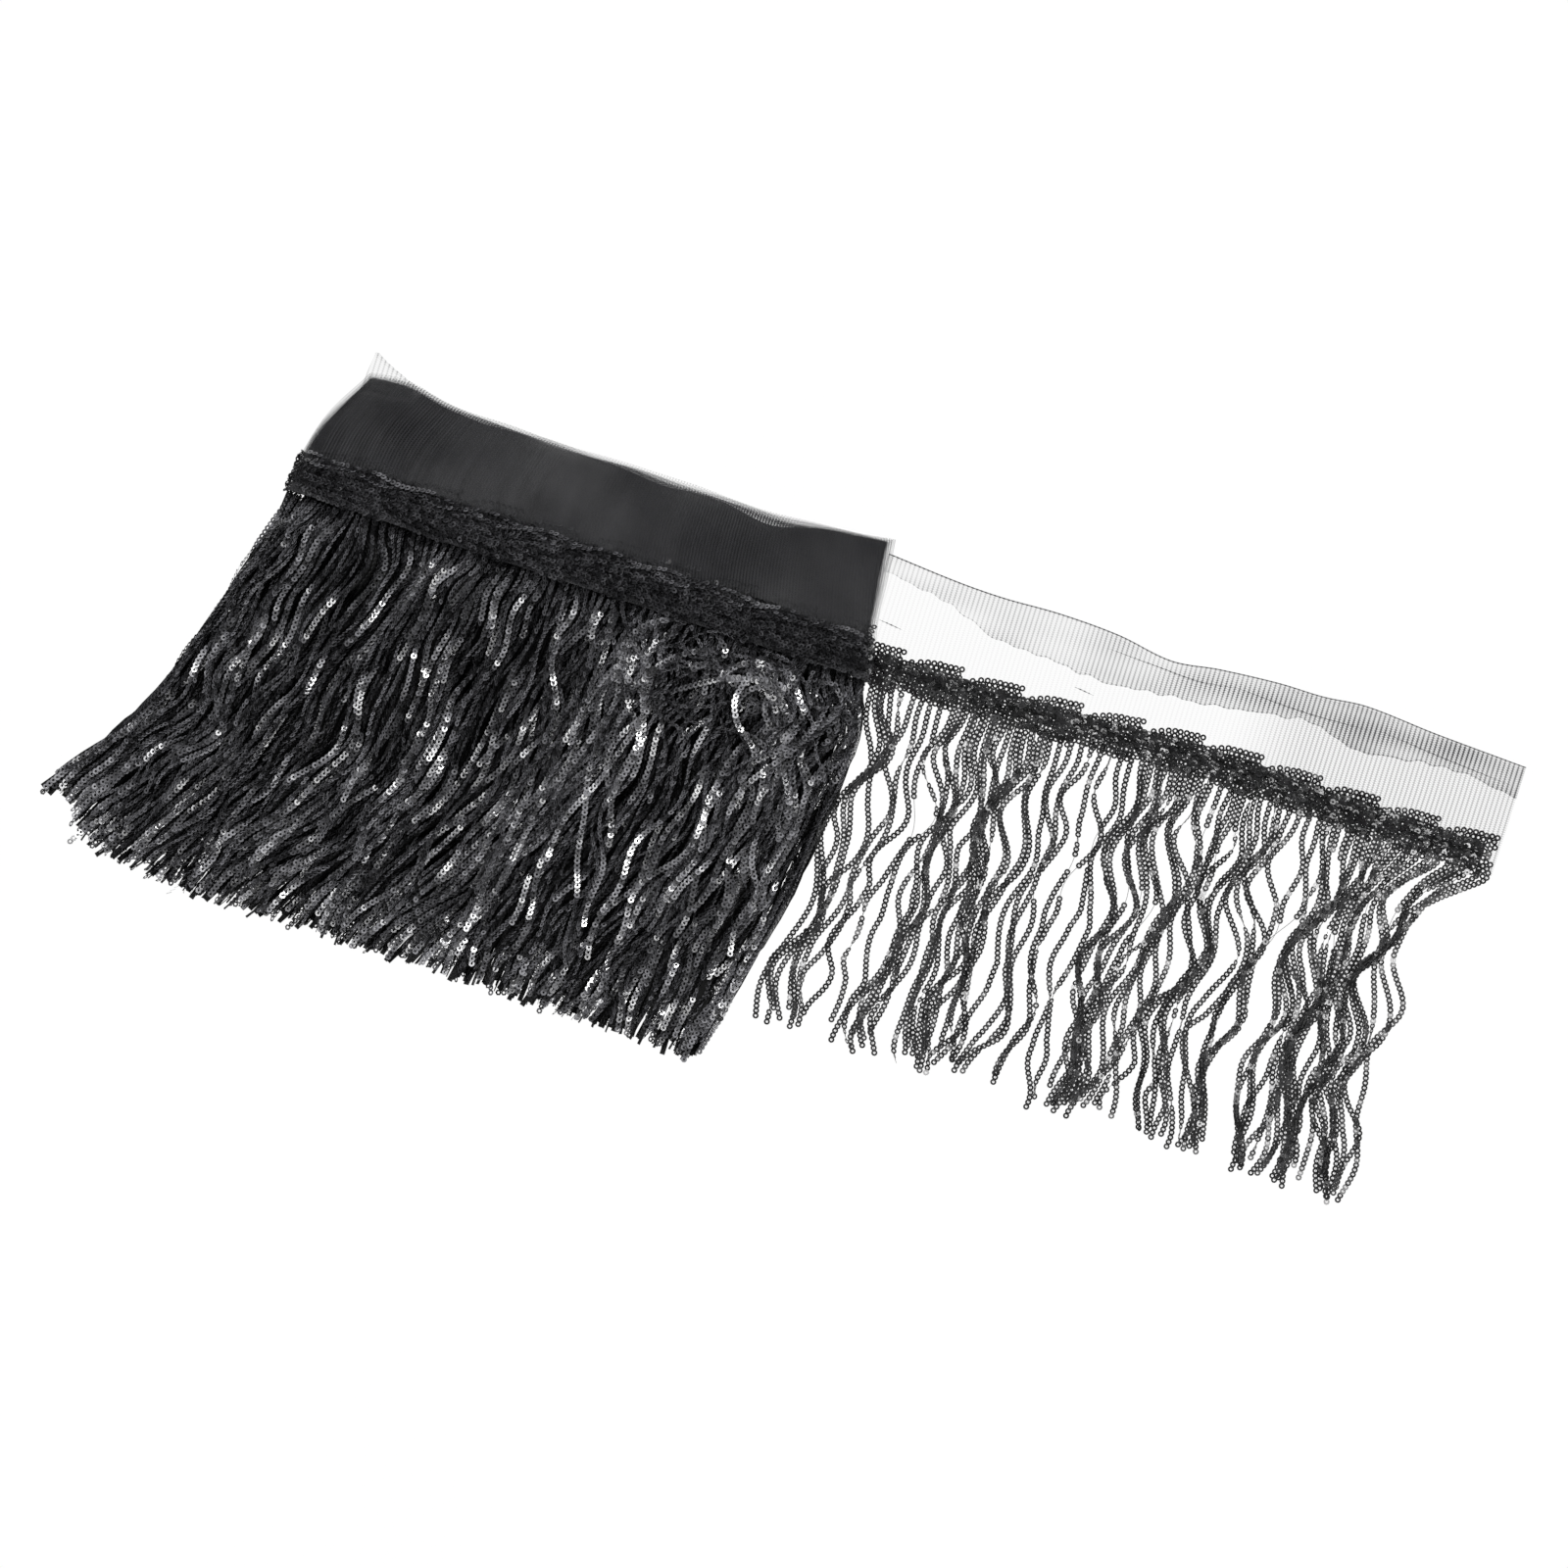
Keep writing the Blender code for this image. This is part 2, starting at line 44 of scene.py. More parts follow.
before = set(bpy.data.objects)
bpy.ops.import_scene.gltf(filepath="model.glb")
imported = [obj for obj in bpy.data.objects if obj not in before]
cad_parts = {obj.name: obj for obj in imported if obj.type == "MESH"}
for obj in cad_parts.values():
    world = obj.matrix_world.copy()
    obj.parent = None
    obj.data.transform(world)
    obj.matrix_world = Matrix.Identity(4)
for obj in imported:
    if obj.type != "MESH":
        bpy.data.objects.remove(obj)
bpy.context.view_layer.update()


def named_rows(names, rows):
    """The rows of a table, with a name for each column."""
    kind = namedtuple("Row", names)
    return [kind(*row) for row in rows]


# The leaf band, as the solids have it
LEAF_PITCH = 0.0302
LEAF_HALF_HEIGHT = 0.0108
LEAF_NOTCH = 0.0052
LEAF_LEAN = 0.8
TIP_PHASE = 0.83
LEAF_EDGE = named_rows("phase risen", (
    (0.00, 0.00),
    (0.10, 0.48),
    (0.22, 0.78),
    (0.40, 0.96),
    (0.62, 1.00),
    (0.83, 1.00),
    (1.00, 0.00),
))

# The bolt: its two sides and its height from the selvage down to the strands' tips
BOLT_ROWS = named_rows("y left right height", (
    (0.1283, -0.2513, 0.0143, 0.0100),
    (0.1024, -0.2648, 0.0170, 0.0135),
    (0.0845, -0.2700, 0.0190, 0.0165),
    (0.0580, -0.2735, 0.0240, 0.0190),
    (0.0340, -0.2795, 0.0278, 0.0185),
    (0.0060, -0.2880, 0.0272, 0.0175),
    (-0.0220, -0.2955, 0.0250, 0.0160),
    (-0.0500, -0.3045, 0.0220, 0.0145),
    (-0.0870, -0.3275, 0.0125, 0.0122),
    (-0.1055, -0.3415, 0.0080, 0.0108),
    (-0.1400, -0.3620, 0.0010, 0.0085),
))

# The bolt again, along its length: its selvage, the middle of its leaf band and its strands' tips
BOLT_COLUMNS = named_rows("x selvage spine tips", (
    (-0.3410, 0.1270, 0.0733, -0.1090),
    (-0.3230, 0.1270, 0.0733, -0.1250),
    (-0.2820, 0.1270, 0.0733, -0.1355),
    (-0.2513, 0.1283, 0.0733, -0.1370),
    (-0.2308, 0.1297, 0.0730, -0.1360),
    (-0.2100, 0.1262, 0.0724, -0.1365),
    (-0.1867, 0.1245, 0.0718, -0.1370),
    (-0.0888, 0.1236, 0.0708, -0.1385),
    (-0.0387, 0.1228, 0.0702, -0.1400),
    (0.0143, 0.1281, 0.0697, -0.1405),
    (0.0280, 0.1281, 0.0694, -0.1380),
))

# The loose end: the middle of its leaf band, its folded selvage and the fold's free edge
LOOSE_COLUMNS = named_rows("x spine fold flap", (
    (0.0160, 0.0687, 0.1218, 0.1130),
    (0.0515, 0.0687, 0.1188, 0.1065),
    (0.0745, 0.0689, 0.1181, 0.0981),
    (0.1030, 0.0692, 0.1190, 0.0963),
    (0.1330, 0.0700, 0.1177, 0.0938),
    (0.1612, 0.0716, 0.1135, 0.0965),
    (0.1845, 0.0728, 0.1165, 0.0982),
    (0.2143, 0.0722, 0.1188, 0.1026),
    (0.2363, 0.0714, 0.1190, 0.1048),
    (0.2578, 0.0706, 0.1209, 0.0989),
    (0.2920, 0.0696, 0.1184, 0.1030),
    (0.3139, 0.0693, 0.1172, 0.1039),
    (0.3400, 0.0691, 0.1159, 0.0995),
))

# Sharp little pleats in the loose net, by points along them
PLEATS = (
    ((0.130, 0.1098), (0.155, 0.1086), (0.177, 0.1077), (0.195, 0.1102)),
    ((0.195, 0.1102), (0.232, 0.1088), (0.262, 0.1100)),
    ((0.268, 0.1112), (0.300, 0.1080), (0.336, 0.1052)),
    ((0.020, 0.0897), (0.026, 0.0891), (0.032, 0.0883)),
    ((0.120, 0.0871), (0.125, 0.0866), (0.130, 0.0859)),
)
PLEAT_WIDTH = 0.00055
PLEAT_HEIGHT = 0.0032
PLEAT_COVER = 0.75
PLEAT_POINTS = 24

# The rows of points round the loose net's fold: how far in from it, how high, and how much of the
# light the net stops there, as a plain share and in layers of the net
LOOSE_FOLD = named_rows("inset height cover layers", (
    (0.0006, 0.0006, 0.0, 1.0),
    (0.0006, 0.0007, 0.70, 0.0),
    (0.0000, 0.0012, 0.80, 0.0),
    (0.0006, 0.0017, 0.70, 0.0),
    (0.0006, 0.0018, 0.0, 4.0),
))
LOOSE_NET_SIDES = (0.0150, 0.3405)
LOOSE_NET_BELOW_VEIN = 0.0085
LOOSE_NET_COLUMNS = 220
LOOSE_NET_ROWS = 16
NET_WRINKLE = 0.0004
FLAP_HEIGHT = 0.0018
FLAP_WRINKLE = 0.0005
FLAP_RIPPLE = 0.0006
FLAP_STEPS = (0.05, 0.2, 0.35, 0.5, 0.65, 0.8, 0.9, 0.965, 0.97, 1.0)
FLAP_EDGE_STEP = 0.97
FLAP_EDGE_LAYERS = 3.5

# The loose strands: how far the first and the last have moved sideways, and how much they sway
LOOSE_ROWS = named_rows("y left_shift right_shift swing", (
    (0.058, 0.0000, 0.0000, 0.0),
    (0.034, 0.0030, -0.0260, 0.5),
    (0.011, 0.0030, -0.0285, 0.9),
    (-0.012, 0.0020, -0.0265, 1.0),
    (-0.035, 0.0010, -0.0310, 1.0),
    (-0.058, -0.0010, -0.0340, 1.0),
    (-0.085, -0.0040, -0.0220, 1.0),
    (-0.115, -0.0030, -0.0180, 1.0),
))
SIDE_SHARE = 0.28
LOOSE_END = 0.3315
CELLS_A_LOOSE_LEAF = 6
LOOSE_CELLS = 61
STRAND_SWING = 0.0042
BUNDLE_SWAY = 0.75
OWN_SWAY = 0.65
LOOSE_TIP = -0.1085
TIP_STAGGER = 0.0060
STRAND_ROOM = 0.0030
BOLT_CLEARANCE = 0.0024

# The finer strands between them, and how far each strand strays in the scene
EXTRA_STRANDS = 37
LOOSE_POINTS = 110
BUNDLE_STRAY = 0.0022
WANDER_STRAY = 0.0036
QUICK_STRAY = 0.0014
SLANT_SPREAD = 0.0045
STEADY_STRANDS = 8.0
MOST_CLOSED = 0.60
BARE_STRANDS = 0.35
ROOTS_BELOW_VEIN = (0.0065, 0.0105)
FREE_BELOW = 0.030
MOST_FLIPS = 3
FLIP_LENGTHS = (0.010, 0.026)
LOOSE_TWIST = 0.10
LOOSE_LIFT = 0.0007
BAND_LIFT = 0.0012

# How the sequins hang on their threads
RING_SIDES = 8
FINE_RING_SIDES = 10
LOW_RING_SIDES = 6
LOOSE_SHINGLE = 0.10
HEAP_SHINGLE = 0.33
ROW_GAP = 0.00235
BAND_ROW_GAP = 0.0015
THREAD_RADIUS = 0.00014
THREAD_SIDES = 3
CHAIN_WIDTH = 0.0026
FLOOR_GAP = 0.0003
WAVES = 5

# The rows of sequins on a leaf: the outer row's inset, how near the edge a row ends at the leaf's tip,
# and the height of a sequin at the vein, at the crown and towards the tip
ROW_INSET = 0.0013
TIP_ROWS = 0.0020
ROW_START_SPREAD = 0.03
LEAF_BASE_LIFT = 0.0004
LEAF_CROWN_LIFT = 0.0007
LEAF_TIP_LIFT = 0.0005
LEAF_SEQUIN_PITCH = 0.00262
LOOSE_LEAF_ROWS = 5
VEIN_ROWS = (-0.0075, -0.0050, -0.0032, -0.0018, -0.0004, 0.0010, 0.0022, 0.0036, 0.0050)
VEIN_SEQUIN_PITCH = 0.0021

# The turns of the bolt's leaf band, the outer one first: where their leaves start, how far they have
# slipped up, how deep they lie, how their sequins stand, and how light they look
BAND_LENGTH = 0.590
BAND_ROWS_REACH = 0.0125
BAND_MIDDLE = 0.0715
BAND_LEFT_INSET = 0.0014
# How light they look is painted shade: the turns under the outer one are painted darker, in colour and gloss
LEAF_TURNS = named_rows("phase slip sink gap pitch lean light", (
    (0.004, 0.0000, 0.0000, BAND_ROW_GAP, 0.0022, 0.85, 1.0),
    (0.017, 0.0010, 0.0010, BAND_ROW_GAP, 0.0023, 0.95, 0.9),
    (0.011, 0.0060, 0.0028, ROW_GAP, 0.0029, 0.60, 0.8),
))
EDGE_CHAINS = named_rows("away wave start", (
    (0.0098, 0.0010, 0.0),
    (0.0070, 0.0013, 2.2),
))

# The layers of strands on the bolt, from the top: strands in a layer, how deep it lies as a share of
# the heap, how much its strands wander, how light they look, and the layer's place among the seeds
# How light they look is painted: painted light on the top layers, painted shade on deeper ones, in colour
# and gloss
StrandLayer = namedtuple("StrandLayer", "strands depth wander light seed")
STRAND_LAYERS = (
    StrandLayer(70, 0.00, 1.10, 1.45, 101),
    StrandLayer(74, 0.05, 1.00, 1.20, 102),
    StrandLayer(76, 0.11, 0.90, 0.80, 103),
    StrandLayer(78, 0.18, 0.80, 0.40, 104),
    StrandLayer(80, 0.27, 0.75, 0.18, 105),
)
FINE_LAYERS = 3
LAYER_STEPS = 60
FLAT_SHARE = 0.25
DEEP_LAYERS = (0.34, 0.42, 0.52, 0.62, 0.74, 0.86)
DEEP_STRANDS = 100
DEEP_STEPS = 26
DEEP_LENGTH = 0.2
BED_ROWS = 44
BED_COLUMNS = 120
EDGE_SLUMP = 0.5
SLUMP_WIDTH = 0.030
HEAP_TIPS = -0.13
HEAP_TOPS = (0.0600, 0.0632)
HEAP_MARGINS = (0.0004, 0.0044)
HEAP_BUMP = 0.0013
HEAP_SINK = 0.0014
HEAP_LIFT = 0.0006
HEAP_SWAY = 0.0050
HEAP_WANDER = 0.0029
TANGLE_WANDER = 0.0070
OWN_WANDER = 0.0013

# How a strand's sequins stand in the heap: the turn of those on edge, the spread of flat ones, and
# how long the stretches of both kinds and the turns between them are
EDGE_TURNS = (0.95, 1.42)
EDGE_LENGTHS = (0.020, 0.060)
FLAT_SPREAD = 0.26
FLAT_LENGTHS = (0.008, 0.024)
TURN_LENGTHS = (0.004, 0.009)
FLAT_TIPS = 0.35

# The swirl of strands below the band: its middle, its size, and the strands in it, with painted light in
# their colour and gloss
TANGLE_X = -0.020
TANGLE_Y = 0.036
TANGLE_WIDE = 0.055
TANGLE_DEEP = 0.026
TANGLE_STRANDS = 64
TANGLE_STEPS = 70
TANGLE_FLAT_SHARE = 0.45
TANGLE_PAINTED_LIGHT = 1.3
TANGLE_ASIDE = 0.022
TANGLE_OWN = 0.35

# The bolt's net: how far each of its turns lies in from the outermost, the slip of its selvage, how
# far it reaches past the bolt's right edge, and how much of the light it stops
NET_TURNS = named_rows("inset slip reach cover", (
    (0.0000, 0.0010, 0.0018, 0.14),
    (0.0005, 0.0002, 0.0010, 0.18),
    (0.0010, -0.0006, 0.0004, 0.24),
    (0.0015, -0.0010, 0.0000, 0.40),
    (0.0020, -0.0015, -0.0002, 0.75),
    (0.0026, -0.0022, -0.0004, 1.00),
    (0.0038, -0.0024, -0.0008, 1.00),
    (0.0048, -0.0036, -0.0012, 1.00),
))
NET_COLUMNS = 120
NET_ROWS = 15
NET_BELOW_VEIN = 0.0098
NET_AROUND = 0.870
NET_LEVELS = (0.0600, 0.1283)
NET_RIPPLE = 0.0002
SELVAGE_RIPPLE = 0.0006
SELVAGE_COVER = 1.3
NET_DIP = 0.0050
NET_DIPS = ((-0.098, 0.014), (-0.0455, 0.016))
CORNER_ROWS = 8
CORNER_COLUMNS = 12

# The lamps, by name: where each stands, how wide it is and how strong
LAMPS = named_rows("name place width power", (
    ("left", (-1.35, 0.75, 1.75), 0.58, 86.0),
    ("right", (1.30, 0.55, 1.75), 0.75, 38.0),
    ("front", (0.20, -1.55, 1.75), 0.75, 50.0),
))
WORLD_LIGHT = 0.38
CAMERA_HEIGHT = 3.2
CAMERA_TURN = 17.5
CAMERA_SENSOR = 36.0
VIEW_WIDTH = 0.760
FLOOR_SIZE = 4.0

# What the properties below share
DISTANCE = {"subtype": "DISTANCE", "unit": "LENGTH"}
COLOUR = {"min": 0.0, "max": 1.0, "size": 3, "subtype": "COLOR"}


class TrimSizes(bpy.types.PropertyGroup):
    """The sizes and colours of the trim that a user would change."""

    sequin_diameter: FloatProperty(
        name="Sequin Diameter",
        description="Diameter of a flat sequin",
        default=0.0031,
        min=0.001,
        **DISTANCE,
    )
    hole_share: FloatProperty(
        name="Hole Share",
        description="Diameter of a sequin's hole as a share of its own",
        default=0.40,
        min=0.1,
        max=0.8,
        subtype="FACTOR",
    )
    chain_pitch: FloatProperty(
        name="Chain Pitch",
        description="Distance between two sequins along a strand",
        default=0.00238,
        min=0.001,
        **DISTANCE,
    )
    rib_pitch: FloatProperty(
        name="Rib Pitch",
        description="Distance between two ribs of the net",
        default=0.0023,
        min=0.0003,
        **DISTANCE,
    )
    loose_cover: FloatProperty(
        name="Loose Net Cover",
        description="Share of the light that one layer of the loose net stops",
        default=0.05,
        min=0.0,
        max=1.0,
        subtype="FACTOR",
    )
    net_colour: FloatVectorProperty(
        name="Net Colour",
        description="Colour of the net's thread",
        default=(0.0125, 0.0125, 0.0137),
        **COLOUR,
    )
    sequin_colour: FloatVectorProperty(
        name="Sequin Colour",
        description="Colour of the sequins",
        default=(0.0065, 0.0065, 0.007),
        **COLOUR,
    )
    # Painted light: the heap's sequins are the loose ones, their colour painted this many times lighter
    heaped_painted_light: FloatProperty(
        name="Heaped Lightness",
        description="How much lighter the sequins of the heap are than loose ones",
        default=5.8,
        min=0.0,
    )
    deep_strands: IntProperty(
        name="Deep Strands",
        description="Strands in each layer inside the bolt's heap",
        default=DEEP_STRANDS,
        min=1,
    )


def between(start, end, share):
    return start + (end - start) * share


def soft_step(share):
    share = np.clip(share, 0.0, 1.0)
    return share * share * (3.0 - 2.0 * share)


def smooth_curve(places, values):
    """A smooth curve through values at rising or falling places, as a function."""
    places = np.asarray(places, float)
    values = np.asarray(values, float)
    if places[0] > places[-1]:
        places = places[::-1]
        values = values[::-1]
    last = len(places) - 1
    after = np.minimum(np.arange(last + 1) + 1, last)
    before = np.maximum(np.arange(last + 1) - 1, 0)
    slopes = (values[after] - values[before]) / (places[after] - places[before])

    def value(at):
        at = np.clip(at, places[0], places[last])
        i = np.clip(np.searchsorted(places, at, side="left") - 1, 0, last - 1)
        span = places[i + 1] - places[i]
        t = (at - places[i]) / span
        rise = values[i + 1] - values[i]
        start = slopes[i] * span
        end = slopes[i + 1] * span
        return values[i] + t * start + t * t * (3 * rise - 2 * start - end) + t**3 * (start + end - 2 * rise)

    return value


def column_curve(rows, place, name):
    """The smooth curve of one named column of a table."""
    return smooth_curve([getattr(row, place) for row in rows], [getattr(row, name) for row in rows])


bolt_left = column_curve(BOLT_ROWS, "y", "left")
bolt_right = column_curve(BOLT_ROWS, "y", "right")
bolt_height = column_curve(BOLT_ROWS, "y", "height")
bolt_selvage = column_curve(BOLT_COLUMNS, "x", "selvage")
bolt_spine = column_curve(BOLT_COLUMNS, "x", "spine")
bolt_tips = column_curve(BOLT_COLUMNS, "x", "tips")
loose_spine = column_curve(LOOSE_COLUMNS, "x", "spine")
loose_fold = column_curve(LOOSE_COLUMNS, "x", "fold")
loose_flap = column_curve(LOOSE_COLUMNS, "x", "flap")
leaf_rise = column_curve(LEAF_EDGE, "phase", "risen")


class Waves:
    """Soft seeded noise, between about -1 and 1, by the reach of its waves in two directions."""

    def __init__(self, seed, across, along):
        maker = random.Random(seed)
        self.terms = []
        for _ in range(WAVES):
            angle = maker.uniform(0.0, 2.0 * math.pi)
            pace = maker.uniform(0.6, 1.4)
            start = maker.uniform(0.0, 2.0 * math.pi)
            turn_across = 2.0 * math.pi * pace * math.cos(angle) / across
            turn_along = 2.0 * math.pi * pace * math.sin(angle) / along
            self.terms.append((turn_across, turn_along, start))

    def at(self, x, y):
        total = sum(np.sin(a * x + b * y + start) for a, b, start in self.terms)
        return total / math.sqrt(WAVES)


# The unevenness of the loose strands, as the solids have it and finer
solid_bundles = Waves(5, 0.060, 0.110)
solid_sway = Waves(6, 0.017, 0.090)
loose_bundles = Waves(41, 0.030, 0.070)
loose_lift = Waves(44, 0.010, 0.060)
loose_wander = Waves(45, 0.0085, 0.046)
loose_quick_wander = Waves(46, 0.004, 0.024)
loose_pairing = Waves(47, 0.012, 0.055)

# The unevenness of the loose net
net_wrinkle = Waves(71, 0.040, 0.018)
net_ripple = Waves(72, 0.012, 0.060)
net_cloud = Waves(73, 0.045, 0.016)

# The unevenness of the bolt
tangle_bends = Waves(78, 0.036, 0.036)
heap_sway = Waves(81, 0.075, 0.100)
heap_bumps = Waves(83, 0.022, 0.046)
edge_lean = Waves(92, 0.060, 0.010)
bed_ridges = Waves(301, 0.0040, 0.150)


def leaf_edge_height(phase):
    """Half height of the leaf row at a place along one leaf, 0 at its base and 1 at the next."""
    phase = np.mod(phase, 1.0)
    falling = (1.0 - phase) / (1.0 - TIP_PHASE)
    risen = np.where(phase > TIP_PHASE, falling, leaf_rise(phase))
    return LEAF_HALF_HEIGHT - LEAF_NOTCH * (1.0 - risen)


def keep_apart(places, least, left, right):
    """Moves a row of rising places as little as it takes to stand them apart within two sides."""
    places = list(places)
    places[0] = max(places[0], left)
    for i in range(1, len(places)):
        places[i] = max(places[i], places[i - 1] + least)
    places[-1] = min(places[-1], right)
    for i in range(len(places) - 2, -1, -1):
        places[i] = min(places[i], places[i + 1] - least)
    return places


def unit(vectors):
    return vectors / np.linalg.norm(vectors, axis=-1, keepdims=True)


def heap_height(x, y):
    """The top of the heap of wound strands, lower towards its two sides."""
    side = np.minimum(x - bolt_left(y), bolt_right(y) - x)
    return bolt_height(y) * between(EDGE_SLUMP, 1.0, soft_step(side / SLUMP_WIDTH))


# Meshes


def new_piece(name, points, faces, material, slot, node):
    """One mesh piece that rides with the trim and stands for one of its solids."""
    mesh = bpy.data.meshes.new(name)
    mesh.from_pydata(points, [], faces)
    mesh.validate()
    mesh.materials.append(material)
    piece = bpy.data.objects.new(name, mesh)
    bpy.context.scene.collection.objects.link(piece)
    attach(piece, "root")
    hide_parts(node)
    return piece


def lay_value(piece, name, values):
    """Stores one number a vertex, such as how much of the light the net stops."""
    layer = piece.data.attributes.new(name, "FLOAT", "POINT")
    layer.data.foreach_set("value", np.asarray(values, np.float32))


def lay_chart(piece, chart):
    """Gives a piece a chart of two numbers a vertex for its weave."""
    layer = piece.data.uv_layers.new(name="cloth")
    corners = np.empty(len(piece.data.loops), int)
    piece.data.loops.foreach_get("vertex_index", corners)
    layer.data.foreach_set("uv", chart[corners].astype(np.float32).ravel())


def grid_faces(rows, columns, first):
    """Quads of a grid of points, row after row."""
    here = first + np.arange(rows - 1)[:, None] * columns + np.arange(columns - 1)
    here = here.ravel()
    there = here + columns
    return np.column_stack([here, here + 1, there + 1, there])


def sequin_ring(sides, sizes):
    """Points and faces of one sequin, a flat ring."""
    turn = np.arange(sides) * 2.0 * math.pi / sides
    circle = np.column_stack([np.cos(turn), np.sin(turn), np.zeros(sides)])
    outer = sizes.sequin_diameter / 2.0
    points = np.vstack([circle * outer, circle * outer * sizes.hole_share])
    here = np.arange(sides)
    after = (here + 1) % sides
    return points, np.column_stack([here, after, sides + after, sides + here])


class Sequins:
    """Gathers places, directions and shades (random tone with painted light and shade) for many sequins,
    then makes one joined mesh of them.
    """

    def __init__(self, sides, sizes):
        self.ring, self.faces = sequin_ring(sides, sizes)
        self.places = []
        self.alongs = []
        self.ups = []
        self.shades = []

    def add(self, places, directions, shade):
        alongs, ups = directions
        self.places.append(places)
        self.alongs.append(alongs)
        self.ups.append(ups)
        self.shades.append(np.full(len(places), shade))

    def piece(self, name, material, node):
        places = np.concatenate(self.places)
        along = np.concatenate(self.alongs)
        up = np.concatenate(self.ups)
        side = np.cross(up, along)
        points = places[:, None, :] + self.ring[None, :, :1] * along[:, None, :]
        points += self.ring[None, :, 1:2] * side[:, None, :]
        points[:, :, 2] = np.maximum(points[:, :, 2], 0.0)
        count = len(self.ring)
        faces = self.faces[None, :, :] + np.arange(len(places))[:, None, None] * count
        made = new_piece(name, points.reshape(-1, 3), faces.reshape(-1, 4), material, "sequins", node)
        lay_value(made, "shade", np.repeat(np.concatenate(self.shades), count))


class Cloth:
    """Gathers rows of points, their places on the flat cloth and how much of the light they stop."""

    def __init__(self):
        self.points = []
        self.charts = []
        self.covers = []
        self.faces = []

    def add_row(self, place, chart, cover=None):
        self.points.append(np.column_stack(np.broadcast_arrays(*place)))
        self.charts.append(np.column_stack(chart))
        if cover is not None:
            self.covers.append(np.broadcast_to(cover, len(self.points[-1])))

    def join_rows(self, rows, columns, closed=False):
        """Joins the last rows with quads, all the way round where they are closed."""
        first = sum(len(row) for row in self.points) - rows * columns
        self.faces.append(grid_faces(rows, columns, first))
        if closed:
            edge = first + np.arange(rows - 1) * columns
            last = edge + columns - 1
            self.faces.append(np.column_stack([last, edge, edge + columns, last + columns]))

    def piece(self, name, material, slot, node):
        points = np.concatenate(self.points)
        points[:, 2] = np.maximum(points[:, 2], FLOOR_GAP)
        made = new_piece(name, points, np.concatenate(self.faces), material, slot, node)
        lay_chart(made, np.concatenate(self.charts))
        if self.covers:
            lay_value(made, "cover", np.clip(np.concatenate(self.covers), 0.0, 1.0))
        return made


def path_lengths(path):
    """How far along a path each of its points lies."""
    return np.concatenate([[0.0], np.cumsum(np.linalg.norm(np.diff(path, axis=0), axis=1))])


def path_frames(path):
    """Unit directions along a path, level across it and up from it."""
    along = unit(np.gradient(path, axis=0))
    level = unit(np.cross(np.array([0.0, 0.0, 1.0]), along))
    return along, level, np.cross(along, level)


def lean_sequins(along, level, up, twist, shingle):
    """Directions of sequins that turn about their row and lean on the next one like shingles."""
    turned = up * np.cos(twist)[:, None] + level * np.sin(twist)[:, None]
    lifted = along * math.cos(shingle) + turned * math.sin(shingle)
    return lifted, turned * math.cos(shingle) - along * math.sin(shingle)


def even_steps(path, pitch):
    """Points at even steps along a path, and the steps."""
    lengths = path_lengths(path)
    steps = np.arange(0.0, lengths[-1], pitch)
    return np.column_stack([np.interp(steps, lengths, path[:, i]) for i in range(3)]), steps


def flips(steps, chance):
    """How far a chain has turned on its thread: half turns at a few places along it."""
    turned = np.zeros(len(steps))
    for _ in range(chance.randint(0, MOST_FLIPS)):
        centre = chance.uniform(0.0, steps[-1])
        width = chance.uniform(*FLIP_LENGTHS)
        turned += chance.choice((-1.0, 1.0)) * math.pi * soft_step((steps - centre) / width + 0.5)
    return turned


def jitter(chance, count, size):
    return np.array([[chance.uniform(-size, size) for _ in range(3)] for _ in range(count)])


def thread_mesh(paths):
    """A thin thread along each path, as one joined mesh."""
    points = []
    faces = []
    first = 0
    for path in paths:
        along, level, up = path_frames(path)
        count = len(path)
        for corner in range(THREAD_SIDES):
            angle = 2.0 * math.pi * corner / 3.0 + math.pi / 6.0
            points.append(path + THREAD_RADIUS * (math.cos(angle) * level + math.sin(angle) * up))
        row = np.arange(count - 1) + first
        for corner in range(THREAD_SIDES):
            here = row + corner * count
            there = row + (corner + 1) % THREAD_SIDES * count
            faces.append(np.column_stack([here, here + 1, there + 1, there]))
        first += THREAD_SIDES * count
    return np.concatenate(points), np.concatenate(faces)


# Materials

# The sockets of a node that mixes two colours
MIX_SHARE = 0
MIX_FIRST = 6
MIX_SECOND = 7
MIX_COLOUR = 2


